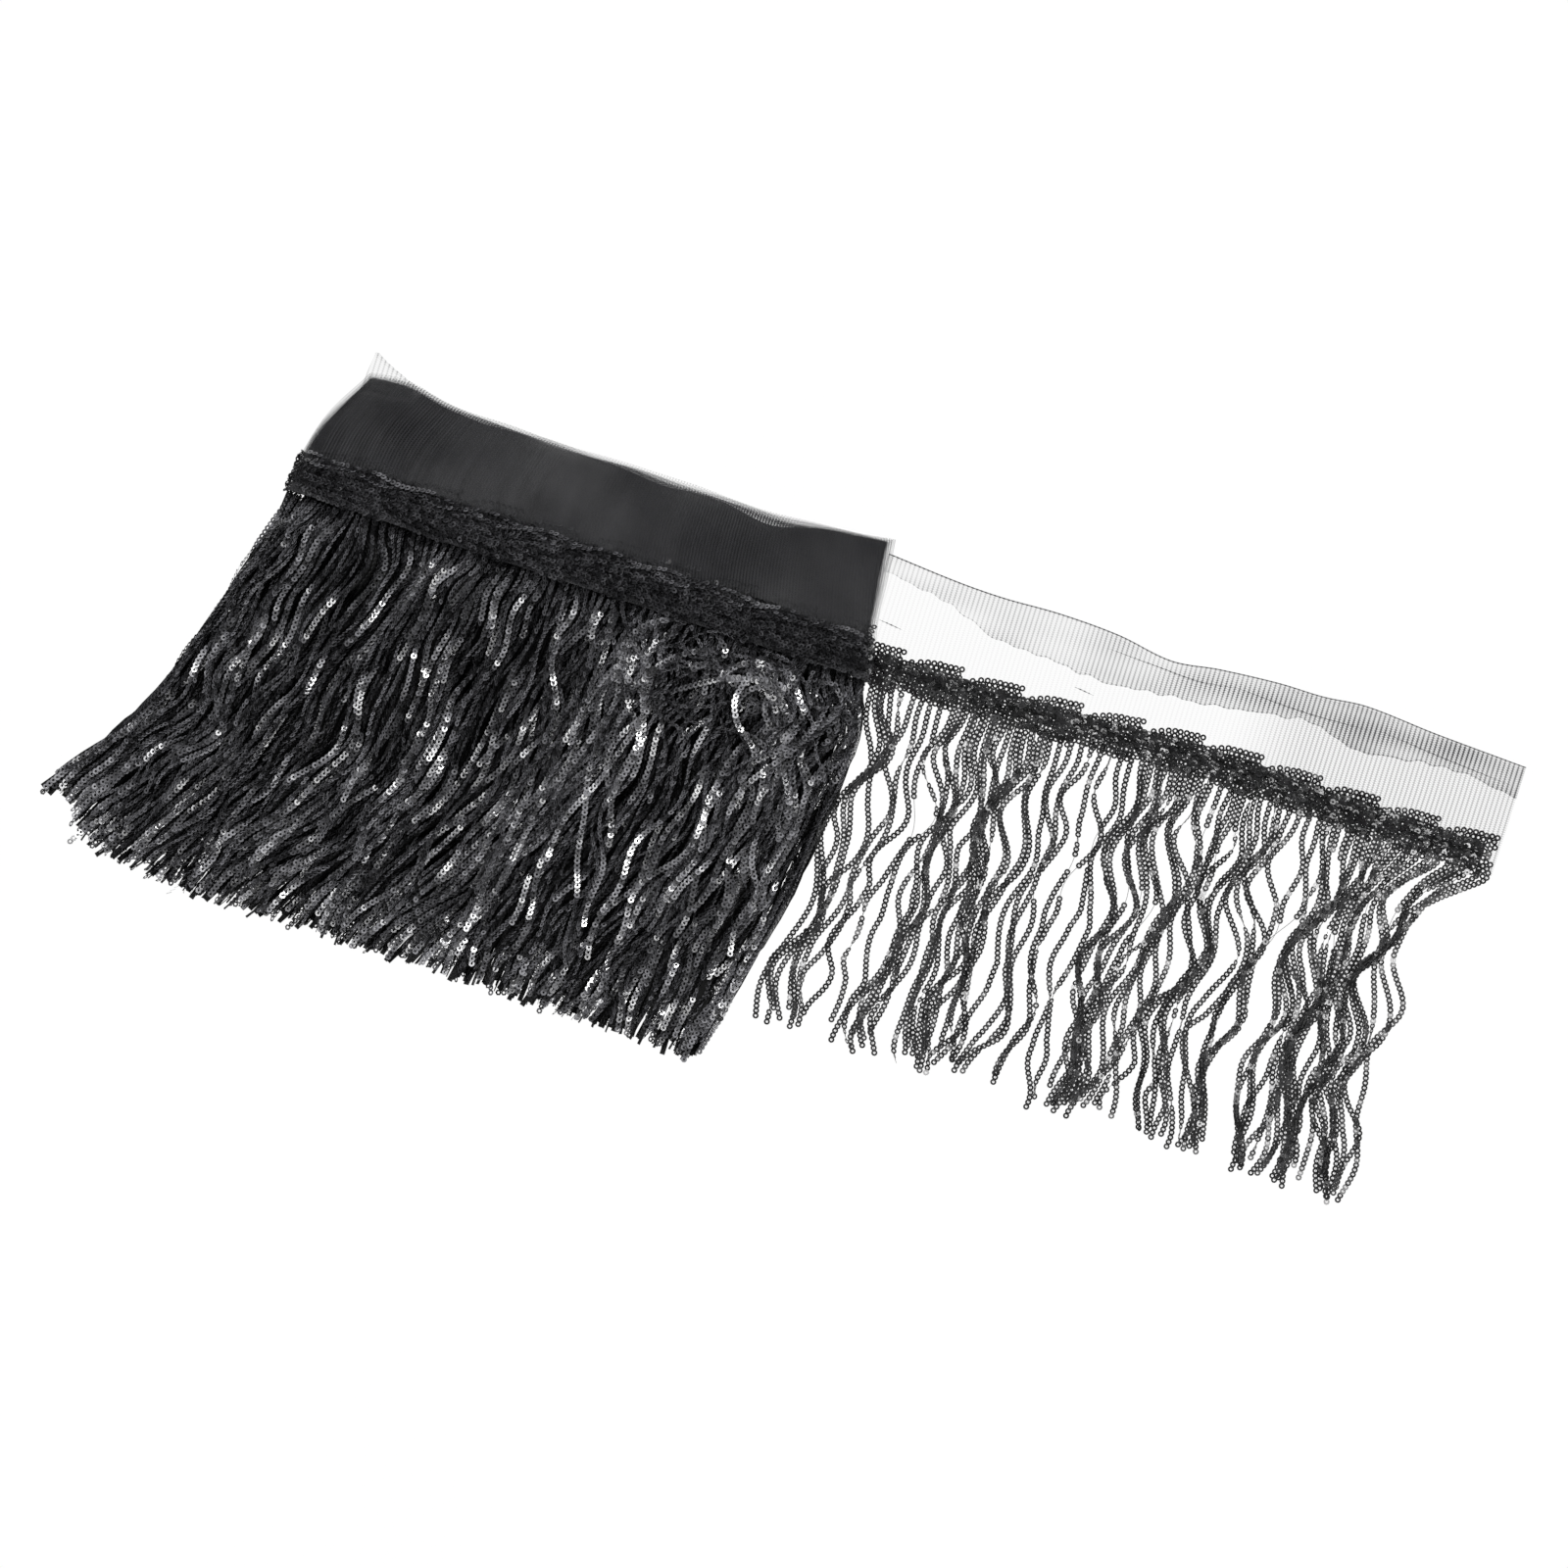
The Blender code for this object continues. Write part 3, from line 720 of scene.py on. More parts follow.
class Nodes:
    """Adds and links shader nodes in a few words."""

    def __init__(self, tree):
        self.tree = tree
        self.shader = tree.nodes.get("Principled BSDF")

    def add(self, kind, **values):
        node = self.tree.nodes.new(kind)
        for name, value in values.items():
            setattr(node, name, value)
        return node

    def put(self, socket, value):
        """Links a socket or sets a plain number or colour."""
        if isinstance(value, bpy.types.NodeSocket):
            self.tree.links.new(value, socket)
        else:
            socket.default_value = value

    def math(self, operation, *values, clamp=False):
        node = self.add("ShaderNodeMath", operation=operation, use_clamp=clamp)
        for socket, value in zip(node.inputs, values):
            self.put(socket, value)
        return node.outputs[0]

    def times(self, *values, clamp=False):
        return self.math("MULTIPLY", *values, clamp=clamp)

    def place(self):
        return self.add("ShaderNodeTexCoord").outputs["Object"]

    def noise(self, vector, scale, detail):
        node = self.add("ShaderNodeTexNoise")
        node.inputs["Scale"].default_value = scale
        node.inputs["Detail"].default_value = detail
        self.put(node.inputs["Vector"], vector)
        return node.outputs["Fac"]

    def streaks(self, chart, scale, detail):
        """Noise that is drawn out in one direction of a chart."""
        node = self.add("ShaderNodeMapping")
        node.inputs["Scale"].default_value = scale
        self.put(node.inputs["Vector"], chart)
        return self.noise(node.outputs["Vector"], 1.0, detail)

    def spread(self, value, start, end):
        """A value between 0 and 1 mapped to between start and end."""
        node = self.add("ShaderNodeMapRange")
        self.put(node.inputs["Value"], value)
        node.inputs["To Min"].default_value = start
        node.inputs["To Max"].default_value = end
        return node.outputs[0]

    def mix(self, share, first, second):
        """A colour between two."""
        node = self.add("ShaderNodeMix", data_type="RGBA")
        self.put(node.inputs[MIX_SHARE], share)
        self.put(node.inputs[MIX_FIRST], first)
        self.put(node.inputs[MIX_SECOND], second)
        return node.outputs[MIX_COLOUR]

    def split(self, chart):
        """The two numbers of a chart."""
        node = self.add("ShaderNodeSeparateXYZ")
        self.put(node.inputs[0], chart)
        return node.outputs["X"], node.outputs["Y"]

    def bump(self, height, strength=0.6, depth=0.0003):
        node = self.add("ShaderNodeBump")
        node.inputs["Strength"].default_value = strength
        node.inputs["Distance"].default_value = depth
        self.put(node.inputs["Height"], height)
        return node.outputs["Normal"]

    def finish(self, **values):
        """Puts colours, numbers and sockets on the shader, by their names with low lines."""
        for name, value in values.items():
            self.put(self.shader.inputs[name.replace("_", " ")], value)


def solid(colour, lightness=1.0):
    """A plain colour with the alpha that a socket takes."""
    return (*(lightness * part for part in colour), 1.0)


def grey(value):
    return (value, value, value, 1.0)


BLACK = grey(0.0)


def material_named(name, dress, *values):
    """The material of that name, dressed at its first use."""
    material = bpy.data.materials.get(name)
    if not material:
        material = bpy.data.materials.new(name)
        material.use_nodes = True
        dress(Nodes(material.node_tree), *values)
    return material


def tulle_group():
    """Ribbed tulle: a mask of its threads and their height, from a chart in metres."""
    old = bpy.data.node_groups.get("tulle weave")
    if old:
        return old
    group = bpy.data.node_groups.new("tulle weave", "ShaderNodeTree")
    group.interface.new_socket("Chart", in_out="INPUT", socket_type="NodeSocketVector")
    for label, value in (("Rib Pitch", 0.0023), ("Mesh Pitch", 0.0011), ("Cover", 0.1)):
        socket = group.interface.new_socket(label, in_out="INPUT", socket_type="NodeSocketFloat")
        socket.default_value = value
    for label in ("Mask", "Height"):
        group.interface.new_socket(label, in_out="OUTPUT", socket_type="NodeSocketFloat")
    nodes = Nodes(group)
    inside = nodes.add("NodeGroupInput").outputs
    outside = nodes.add("NodeGroupOutput").inputs
    along, across = nodes.split(inside["Chart"])
    along = nodes.math("DIVIDE", along, inside["Rib Pitch"])
    across = nodes.math("DIVIDE", across, inside["Mesh Pitch"])
    rib = nodes.math("POWER", nodes.times(nodes.math("PINGPONG", along, 0.5), 2.0), 3.0)
    odd = nodes.times(nodes.math("MODULO", nodes.math("FLOOR", along), 2.0), 0.5)
    bar = nodes.math("PINGPONG", nodes.math("ADD", across, odd), 0.5)
    bar = nodes.math("POWER", nodes.times(bar, 2.0), 4.0)
    threads = nodes.math("ADD", nodes.times(rib, 1.9), nodes.times(bar, 1.2))
    threads = nodes.math("ADD", threads, 0.27)
    cover = inside["Cover"]
    dense = nodes.math("SUBTRACT", nodes.times(cover, 2.2), 1.2, clamp=True)
    nodes.put(outside["Mask"], nodes.math("MAXIMUM", nodes.times(threads, cover), dense, clamp=True))
    nodes.put(outside["Height"], threads)
    return group


def dress_net(nodes, sizes):
    """Black tulle, sheer where its cover is low, its ribs a little lighter, with a painted sheen of light
    grey streaks near its selvage.
    """
    chart = nodes.add("ShaderNodeUVMap", uv_map="cloth").outputs["UV"]
    cover = nodes.add("ShaderNodeAttribute", attribute_name="cover").outputs["Fac"]
    weave = nodes.add("ShaderNodeGroup", node_tree=tulle_group())
    weave.inputs["Rib Pitch"].default_value = sizes.rib_pitch
    nodes.put(weave.inputs["Chart"], chart)
    nodes.put(weave.inputs["Cover"], cover)
    cloudy = nodes.noise(nodes.place(), 45.0, 4.0)
    pulled = nodes.streaks(chart, (420.0, 26.0, 1.0), 2.0)
    cloth = nodes.times(nodes.spread(cloudy, 0.6, 1.4), nodes.spread(pulled, 0.35, 1.65))
    shade = nodes.times(cloth, nodes.spread(weave.outputs["Height"], 0.80, 1.20))
    tint = nodes.mix(nodes.times(shade, 0.4, clamp=True), BLACK, solid(sizes.net_colour, 2.5))
    # Painted sheen: light grey streaks in patches towards the bolt's selvage, stronger where the net is
    # dense
    high = nodes.math("SUBTRACT", nodes.split(chart)[1], 0.1165)
    high = nodes.math("DIVIDE", high, 0.008, clamp=True)
    lines = nodes.streaks(chart, (34.0, 1300.0, 1.0), 3.0)
    patch = nodes.math("SUBTRACT", nodes.noise(nodes.place(), 17.0, 1.0), 0.50)
    patch = nodes.times(patch, 6.0, clamp=True)
    painted_sheen = nodes.times(nodes.times(high, patch), nodes.spread(lines, -1.0, 3.0), clamp=True)
    painted_sheen = nodes.times(painted_sheen, nodes.math("SUBTRACT", cover, 0.3, clamp=True))
    dull = nodes.spread(nodes.noise(nodes.place(), 16.0, 3.0), -0.4, 1.1)
    gleam = nodes.times(dull, nodes.spread(cloth, 0.2, 1.0), clamp=True)
    nodes.finish(
        Alpha=weave.outputs["Mask"],
        Base_Color=nodes.mix(painted_sheen, tint, grey(0.26)),
        Roughness=nodes.spread(cloudy, 0.55, 0.75),
        Specular_IOR_Level=nodes.times(gleam, 0.72),
        Normal=nodes.bump(weave.outputs["Height"]),
    )


def dress_sequins(nodes, colour, lightness):
    """Glossy black sequins, each a little different in shade and polish, with painted light and shade from
    the shade attribute in their colour and gloss.
    """
    each = nodes.add("ShaderNodeNewGeometry").outputs["Random Per Island"]
    shade = nodes.add("ShaderNodeAttribute", attribute_name="shade").outputs["Fac"]
    smear = nodes.noise(nodes.place(), 900.0, 2.0)
    mixed = nodes.times(nodes.math("ADD", each, smear), 0.5)
    # Painted light and shade: the shade attribute times a random tone for each sequin; it also sets their
    # gloss below
    depth = nodes.times(nodes.spread(each, 0.06, 0.78), shade, clamp=True)
    nodes.finish(
        Base_Color=nodes.mix(depth, BLACK, solid(colour, lightness)),
        Roughness=nodes.spread(mixed, 0.14, 0.34),
        Specular_IOR_Level=nodes.times(shade, 0.6, clamp=True),
        Normal=nodes.bump(smear, 0.15, 0.00005),
    )


def dress_thread(nodes):
    """Dull black thread with a fine twist."""
    fuzz = nodes.noise(nodes.place(), 2500.0, 2.0)
    nodes.finish(
        Base_Color=nodes.mix(fuzz, grey(0.006), grey(0.020)),
        Roughness=nodes.spread(fuzz, 0.6, 0.9),
    )


def dress_chain(nodes, sizes):
    """Strips in the heap that are seen only in its gaps: rows of dark sequins on thread, painted darker and
    duller than the loose sequins as painted shade deep in the heap.
    """
    along, across = nodes.split(nodes.add("ShaderNodeUVMap", uv_map="cloth").outputs["UV"])
    step = nodes.math("FRACT", nodes.math("DIVIDE", along, sizes.chain_pitch))
    step = nodes.math("SUBTRACT", step, 0.5)
    side = nodes.math("SUBTRACT", across, 0.5)
    squares = nodes.math("ADD", nodes.times(step, step), nodes.times(side, side))
    away = nodes.math("ABSOLUTE", nodes.math("SUBTRACT", nodes.math("SQRT", squares), 0.36))
    ring = nodes.math("SUBTRACT", 1.0, nodes.times(away, 6.0), clamp=True)
    nodes.finish(
        Base_Color=nodes.mix(ring, grey(0.001), solid(sizes.sequin_colour)),
        Roughness=nodes.spread(ring, 0.7, 0.3),
        Specular_IOR_Level=0.08,
        Normal=nodes.bump(ring),
    )


def dress_floor(nodes):
    """A floor that shines evenly white, with the faintest mottle."""
    nodes.finish(
        Base_Color=BLACK,
        Roughness=1.0,
        Specular_IOR_Level=0.0,
        Emission_Color=grey(1.0),
        Emission_Strength=nodes.spread(nodes.noise(nodes.place(), 3.0, 2.0), 1.0, 1.01),
    )


def net_material(sizes):
    return material_named("black_tulle", dress_net, sizes)


def sequin_material(sizes):
    return material_named("black_sequin", dress_sequins, sizes.sequin_colour, 2.5)


# The heap's sequins: the loose sequins' colour painted lighter, as painted light on the heap
def heap_painted_light_material(sizes):
    lightness = 2.5 * sizes.heaped_painted_light
    return material_named("heaped_black_sequin", dress_sequins, sizes.sequin_colour, lightness)


def chain_material(sizes):
    return material_named("deep_chain", dress_chain, sizes)


# The loose end


def loose_lines():
    """The loose strands' roots and their places at each row of the table, as the solids have them."""
    columns = np.arange(LOOSE_CELLS + 1)
    along = LOOSE_END - LEAF_PITCH / CELLS_A_LOOSE_LEAF * (LOOSE_CELLS - columns)
    share = soft_step(columns / CELLS_A_LOOSE_LEAF)
    strip = LEAF_HALF_HEIGHT + 0.0008
    tucked = bolt_right(loose_spine(along) - strip)
    edge = between(along + LEAF_LEAN * share * strip, tucked, 1.0 - share)
    starts = (edge[1:] + edge[:-1]) / 2.0
    part = (starts - starts[0]) / (starts[-1] - starts[0])
    near_left = 1.0 - soft_step(part / SIDE_SHARE)
    near_right = soft_step((part - 1.0 + SIDE_SHARE) / SIDE_SHARE)
    ease = soft_step(2.0 * np.arange(LOOSE_CELLS) / CELLS_A_LOOSE_LEAF)
    lines = []
    for row in LOOSE_ROWS:
        left = max(starts[0] + row.left_shift, bolt_right(row.y) + BOLT_CLEARANCE)
        right = starts[-1] + row.right_shift
        x = starts + (left - starts[0]) * near_left + (right - starts[-1]) * near_right
        sway = BUNDLE_SWAY * solid_bundles.at(starts, row.y) + OWN_SWAY * solid_sway.at(starts, row.y)
        x = x + STRAND_SWING * row.swing * sway * ease
        lines.append(keep_apart(x, STRAND_ROOM, left, right + STRAND_SWING))
    return starts, np.array(lines)


def extra_lines(starts, lines, chance):
    """Adds the finer strands that hang between those of the solids."""
    here = np.array(sorted(chance.sample(range(1, len(starts) - 1), EXTRA_STRANDS)))
    share = np.array([chance.uniform(0.3, 0.7) for _ in here])
    starts = np.concatenate([starts, between(starts[here], starts[here + 1], share)])
    lines = np.concatenate([lines, between(lines[:, here], lines[:, here + 1], share)], axis=1)
    order = np.argsort(starts, kind="stable")
    return starts[order], lines[:, order]


def loose_courses(chance):
    """Where the loose strands lie on the floor, as points along each."""
    starts, lines = extra_lines(*loose_lines(), chance)
    rows = [row.y for row in LOOSE_ROWS]
    count = len(starts)
    tips = np.array([LOOSE_TIP + TIP_STAGGER * chance.uniform(-1.0, 1.0) for _ in starts])
    tops = loose_spine(starts) - np.array([chance.uniform(*ROOTS_BELOW_VEIN) for _ in starts])
    y = tips[:, None] + (tops - tips)[:, None] * np.linspace(1.0, 0.0, LOOSE_POINTS)
    hung = tops[:, None] - y
    freed = soft_step(hung / FREE_BELOW)
    home = starts[:, None]
    x = np.array([smooth_curve(rows, lines[:, i])(y[i]) for i in range(count)])
    x = x + freed * BUNDLE_STRAY * loose_bundles.at(home, y)
    x = x + freed * WANDER_STRAY * loose_wander.at(home, y)
    order = np.arange(count)
    room = soft_step(order / STEADY_STRANDS) * soft_step((count - 1 - order) / STEADY_STRANDS)
    slants = np.array([chance.gauss(0.0, SLANT_SPREAD) for _ in starts]) * room
    x = x + soft_step(hung / (tops - tips)[:, None]) * slants[:, None]
    x = x + freed * QUICK_STRAY * loose_quick_wander.at(home, y)
    closing = np.clip(0.30 + 0.7 * loose_pairing.at(home, y), 0.0, MOST_CLOSED) * freed
    for i in range(chance.randint(0, 1), count - 1, 2):
        middle = (x[i] + x[i + 1]) / 2.0
        x[i] += (middle - x[i]) * closing[i]
        x[i + 1] += (middle - x[i + 1]) * closing[i]
    return starts, x, y


def loose_paths(sizes):
    """The path of each loose strand, and how it turns on its thread."""
    chance = random.Random(31)
    paths = []
    twists = []
    for start, x, y in zip(*loose_courses(chance)):
        path, steps = even_steps(np.column_stack([x, y, np.zeros(len(y))]), sizes.chain_pitch)
        twist = flips(steps, chance) + np.array([chance.gauss(0.0, LOOSE_TWIST) for _ in steps])
        lift = 0.0004 + LOOSE_LIFT * (1.0 + loose_lift.at(start, path[:, 1]))
        near_band = 1.0 - soft_step(steps / 0.012)
        upright = sizes.sequin_diameter / 2.0 * np.abs(np.sin(twist))
        path[:, 2] = FLOOR_GAP + np.maximum(lift, 0.0001) + upright + BAND_LIFT * near_band
        paths.append(path)
        twists.append(twist)
    return paths, twists


def leaf_rows(first, last, pitch, gap, rows, chance):
    """Rows of sequins that follow the edge of each leaf: distance along, from the vein, and height."""
    found = []
    for leaf in range(math.floor(first / LEAF_PITCH), math.ceil(last / LEAF_PITCH)):
        for row in range(rows):
            end = TIP_PHASE + 0.01 if row * gap < TIP_ROWS else 1.0
            phase = np.arange(0.0, end, pitch / LEAF_PITCH)
            phase = phase + chance.uniform(-ROW_START_SPREAD, ROW_START_SPREAD)
            closing = np.clip((phase - TIP_PHASE) / (1.0 - TIP_PHASE), 0.0, 1.0)
            full = leaf_edge_height(np.minimum(phase, TIP_PHASE))
            edge = between(full, LEAF_HALF_HEIGHT - LEAF_NOTCH, closing)
            away = edge - ROW_INSET - gap * row
            keep = away > -0.0004
            phase = phase[keep]
            away = away[keep]
            if len(phase) < 3:
                continue
            along = (leaf + phase) * LEAF_PITCH + LEAF_LEAN * away
            crown = np.sin(math.pi * np.clip(away / LEAF_HALF_HEIGHT, 0.0, 1.0))
            lift = LEAF_BASE_LIFT + LEAF_CROWN_LIFT * crown + LEAF_TIP_LIFT * phase
            found.append(np.column_stack([along, away, lift]))
    return found


class TRIM_OT_loose_strands(bpy.types.Operator):
    """Lays the loose end's chains of sequins on the floor."""

    bl_idname = "trim.loose_strands"
    bl_label = "Loose Strands"

    def execute(self, context):
        sizes = context.scene.trim_sizes
        paths, twists = loose_paths(sizes)
        chance = random.Random(51)
        sequins = Sequins(FINE_RING_SIDES, sizes)
        for path, twist in zip(paths, twists):
            alongs, ups = lean_sequins(*path_frames(path), twist, LOOSE_SHINGLE)
            shown = np.full(len(path), True)
            if chance.random() < BARE_STRANDS:
                bare = chance.randint(6, 30)
                shown[bare : bare + chance.randint(3, 8)] = False
            sequins.add(path[shown], (alongs[shown], ups[shown]), chance.uniform(0.4, 0.9))
        sequins.piece("loose_strands", sequin_material(sizes), "loose_fringe")
        thread = material_named("black_thread", dress_thread)
        new_piece("loose_threads", *thread_mesh(paths), thread, "sequins", "loose_fringe")
        return {"FINISHED"}


class TRIM_OT_loose_leaves(bpy.types.Operator):
    """Sews two rows of sequin leaves along the loose net."""

    bl_idname = "trim.loose_leaves"
    bl_label = "Loose Leaf Band"

    def execute(self, context):
        sizes = context.scene.trim_sizes
        chance = random.Random(61)
        sequins = Sequins(FINE_RING_SIDES, sizes)
        start = LOOSE_END - TIP_PHASE * LEAF_PITCH
        first = -11.0 * LEAF_PITCH
        for side, uneven in ((1.0, 0.00018), (-1.0, 0.00045)):
            for row in leaf_rows(first, LEAF_PITCH, LEAF_SEQUIN_PITCH, ROW_GAP, LOOSE_LEAF_ROWS, chance):
                self.sew(sequins, start + row[:, 0], side * row[:, 1], row[:, 2], uneven, 0.14, chance)
        for away in VEIN_ROWS:
            x = np.arange(0.006, LOOSE_END + 0.002 - 0.3 * abs(away), VEIN_SEQUIN_PITCH)
            lean = 0.5 if away > -0.004 else 0.25
            self.sew(sequins, x, away + 0.0 * x, 0.0009 + 0.0 * x, 0.0005, lean, chance)
        sequins.piece("loose_leaf_band", sequin_material(sizes), "loose_fringe")
        return {"FINISHED"}

    def sew(self, sequins, x, away, lift, uneven, lean, chance):
        """Adds one row of sequins, where it shows past the bolt."""
        shown = (x > bolt_right(0.07) - 0.004) & (x < LOOSE_END + 0.0065)
        if shown.sum() < 3:
            return
        x = x[shown]
        path = np.column_stack([x, loose_spine(x) + away[shown], FLOOR_GAP + lift[shown]])
        frames = path_frames(path)
        path = path + jitter(chance, len(path), uneven)
        path[:, 2] = np.maximum(path[:, 2], FLOOR_GAP)
        twist = np.array([chance.gauss(0.0, lean) for _ in path])
        sequins.add(path, lean_sequins(*frames, twist, LOOSE_SHINGLE), chance.uniform(0.3, 0.7))


class TRIM_OT_loose_net(bpy.types.Operator):
    """Lays the loose end's sheer net, its selvage folded over onto it."""

    bl_idname = "trim.loose_net"
    bl_label = "Loose Net"

    def execute(self, context):
        sizes = context.scene.trim_sizes
        x = np.linspace(*LOOSE_NET_SIDES, LOOSE_NET_COLUMNS)
        cloth = Cloth()
        across = np.zeros(len(x))
        last = None
        lie = self.main_rows(x, sizes) + self.fold_rows(x, sizes)
        for y, z, cover in lie:
            if last:
                across = across + np.hypot(y - last[0], z - last[1])
            cloth.add_row((x, y, z), (x, across), cover)
            last = (y, z)
        cloth.join_rows(len(lie), len(x))
        self.add_pleats(cloth)
        piece = cloth.piece("loose_tulle", net_material(sizes), "net", "loose_net")
        return {"FINISHED"}

    def main_rows(self, x, sizes):
        """The net from below the leaf band up to its fold, denser towards its right end."""
        low = loose_spine(x) - LOOSE_NET_BELOW_VEIN
        doubled = sizes.loose_cover * (1.0 + 4.0 * soft_step((x - 0.195) / 0.045))
        lie = []
        for share in np.linspace(0.0, 1.0, LOOSE_NET_ROWS):
            y = between(low, loose_fold(x) - 0.0012, share)
            z = FLOOR_GAP + NET_WRINKLE * soft_step(share * 3.0) * (1.0 + net_wrinkle.at(x, y))
            lie.append((y, z, doubled))
        return lie

    def fold_rows(self, x, sizes):
        """The fold, and the selvage that lies back over the net as far as its free edge."""
        cover = sizes.loose_cover
        fold = loose_fold(x)
        free = loose_flap(x)
        lie = []
        for row in LOOSE_FOLD:
            height = FLOOR_GAP + row.height + 0.0 * x
            lie.append((fold - row.inset, height, row.cover + row.layers * cover))
        gathered = 3.6 + 4.6 * soft_step((x - 0.090) / 0.130)
        for share in FLAP_STEPS:
            y = between(fold - LOOSE_FOLD[-1].inset, free + FLAP_RIPPLE * net_ripple.at(x, 0.0), share)
            z = FLOOR_GAP + FLAP_HEIGHT + FLAP_WRINKLE * share * (1.0 + net_wrinkle.at(x + 0.2, y))
            stopped = cover * gathered * (1.0 + 0.3 * net_cloud.at(x, y))
            if share >= FLAP_EDGE_STEP:
                stopped = cover * (gathered + FLAP_EDGE_LAYERS)
            lie.append((y, z, stopped))
        return lie

    def add_pleats(self, cloth):
        for pleat in PLEATS:
            x = np.linspace(pleat[0][0], pleat[-1][0], PLEAT_POINTS)
            y = smooth_curve(*zip(*pleat))(x)
            width = PLEAT_WIDTH * np.sin(math.pi * np.linspace(0.06, 0.94, PLEAT_POINTS))
            for side in (-0.5, 0.5):
                edge = y + side * width
                cloth.add_row((x, edge, PLEAT_HEIGHT), (x, edge), PLEAT_COVER)
            cloth.join_rows(2, PLEAT_POINTS)


# The bolt


def racetrack(share, left, right, low, high):
    """A place on the outline of a flat roll, and the direction out of it, for a share of the way round."""
    radius = (high - low) / 2.0
    straight = right - left - 2.0 * radius
    bend = math.pi * radius
    way = np.mod(share, 1.0) * (2.0 * straight + 2.0 * bend)
    on_top = way < straight
    on_right = (way >= straight) & (way < straight + bend)
    below = (way >= straight + bend) & (way < 2.0 * straight + bend)
    angle_right = math.pi / 2.0 - (way - straight) / radius
    angle_left = -math.pi / 2.0 - (way - 2.0 * straight - bend) / radius
    angle = np.where(on_right, angle_right, angle_left)
    out_x = np.where(on_top | below, 0.0, np.cos(angle))
    out_z = np.select([on_top, below], [1.0, -1.0], np.sin(angle))
    flat_left = left + radius
    flat_right = right - radius
    bent = np.where(on_right, flat_right, flat_left) + radius * out_x
    x = np.select([on_top, below], [flat_left + way, flat_right - (way - straight - bend)], bent)
    z = np.select([on_top, below], [high, low], low + radius + radius * out_z)
    return x, z, out_x, out_z


def wrap_leaves(sequins, turn, chance, only_top):
    """One turn of the leaf band round the bolt, its sequins leaning on their rows."""
    rows = int(BAND_ROWS_REACH / turn.gap)
    for side in (1.0, -1.0):
        for number, row in enumerate(leaf_rows(0.0, BAND_LENGTH, turn.pitch, turn.gap, rows, chance)):
            share = (row[:, 0] + turn.phase) / BAND_LENGTH
            away = side * row[:, 1]
            y = BAND_MIDDLE + away + turn.slip
            high = bolt_height(y) - turn.sink
            left = bolt_left(y) + BAND_LEFT_INSET
            x, z, out_x, out_z = racetrack(share, left, bolt_right(y), turn.sink, high)
            if only_top and z.min() < 0.010:
                continue
            y = bolt_spine(x) + away + turn.slip
            lift = row[:, 2]
            path = np.column_stack([x + out_x * lift, y, z + out_z * lift])
            along = unit(np.gradient(path, axis=0))
            path += jitter(chance, len(path), 0.00022)
            path[:, 2] = np.maximum(path[:, 2], FLOOR_GAP + 0.0003)
            level = unit(np.cross(np.column_stack([out_x, np.zeros(len(x)), out_z]), along))
            uneven = np.array([chance.gauss(0.0, 0.16) for _ in path])
            tilt = side * turn.lean * (1.0 if number % 2 else -1.0) + uneven
            directions = lean_sequins(along, level, np.cross(along, level), tilt, HEAP_SHINGLE)
            # Painted shade: each row gets its turn's light times a random tone, painted darker than the
            # strands on the heap
            sequins.add(path, directions, turn.light * chance.uniform(0.15, 0.60))


def bumpy_heap(x, y):
    """The uneven top of the heap."""
    return heap_height(x, y) + HEAP_BUMP * heap_bumps.at(x, y)


def in_tangle(x, y):
    """How near the middle of the swirl a place lies, 1 at its middle."""
    return np.exp(-(((x - TANGLE_X) / TANGLE_WIDE) ** 2) - ((y - TANGLE_Y) / TANGLE_DEEP) ** 2)


def heap_paths(layer, steps):
    """Strands that lie side by side on the bolt's heap, in soft waves, from the band to their tips."""
    chance = random.Random(layer.seed)
    local = Waves(layer.seed + 50, 0.030, 0.060)
    own_waves = Waves(layer.seed + 60, 0.0040, 0.060)
    lifting = Waves(layer.seed + 70, 0.006, 0.070)
    count = layer.strands
    home = (np.arange(count) + 0.5 + np.array([chance.uniform(-0.4, 0.4) for _ in range(count)])) / count
    paths = []
    for share in home:
        top = chance.uniform(*HEAP_TOPS)
        tip_x = between(bolt_left(HEAP_TIPS), bolt_right(HEAP_TIPS), share)
        tip = bolt_tips(tip_x) + 0.0012 * local.at(tip_x, 0.2) + 0.016 * chance.random() ** 2
        tip += 0.0010 - 0.0040 * chance.random() ** 4
        y = np.linspace(top, tip, steps)
        left = bolt_left(y)
        right = bolt_right(y)
        base = between(left, right, share)
        freed = soft_step((top - y) / 0.022) * soft_step((min(share, 1.0 - share) + 0.012) / 0.05)
        x = base + freed * HEAP_SWAY * heap_sway.at(base, y)
        stray = HEAP_WANDER + TANGLE_WANDER * in_tangle(base, y)
        x += freed * layer.wander * stray * local.at(base, y)
        x += freed * layer.wander * OWN_WANDER * own_waves.at(share * 0.28, y)
        margin = between(*HEAP_MARGINS, 0.5 + 0.5 * own_waves.at(share * 2.0 + 0.1, y))
        x = np.clip(x, left + margin, right - margin)
        z = bumpy_heap(x, y) * (1.0 - layer.depth) - HEAP_SINK
        z += HEAP_LIFT * lifting.at(share * 0.28, y)
        paths.append(np.column_stack([x, y, np.maximum(z, FLOOR_GAP + 0.0006)]))
    return paths


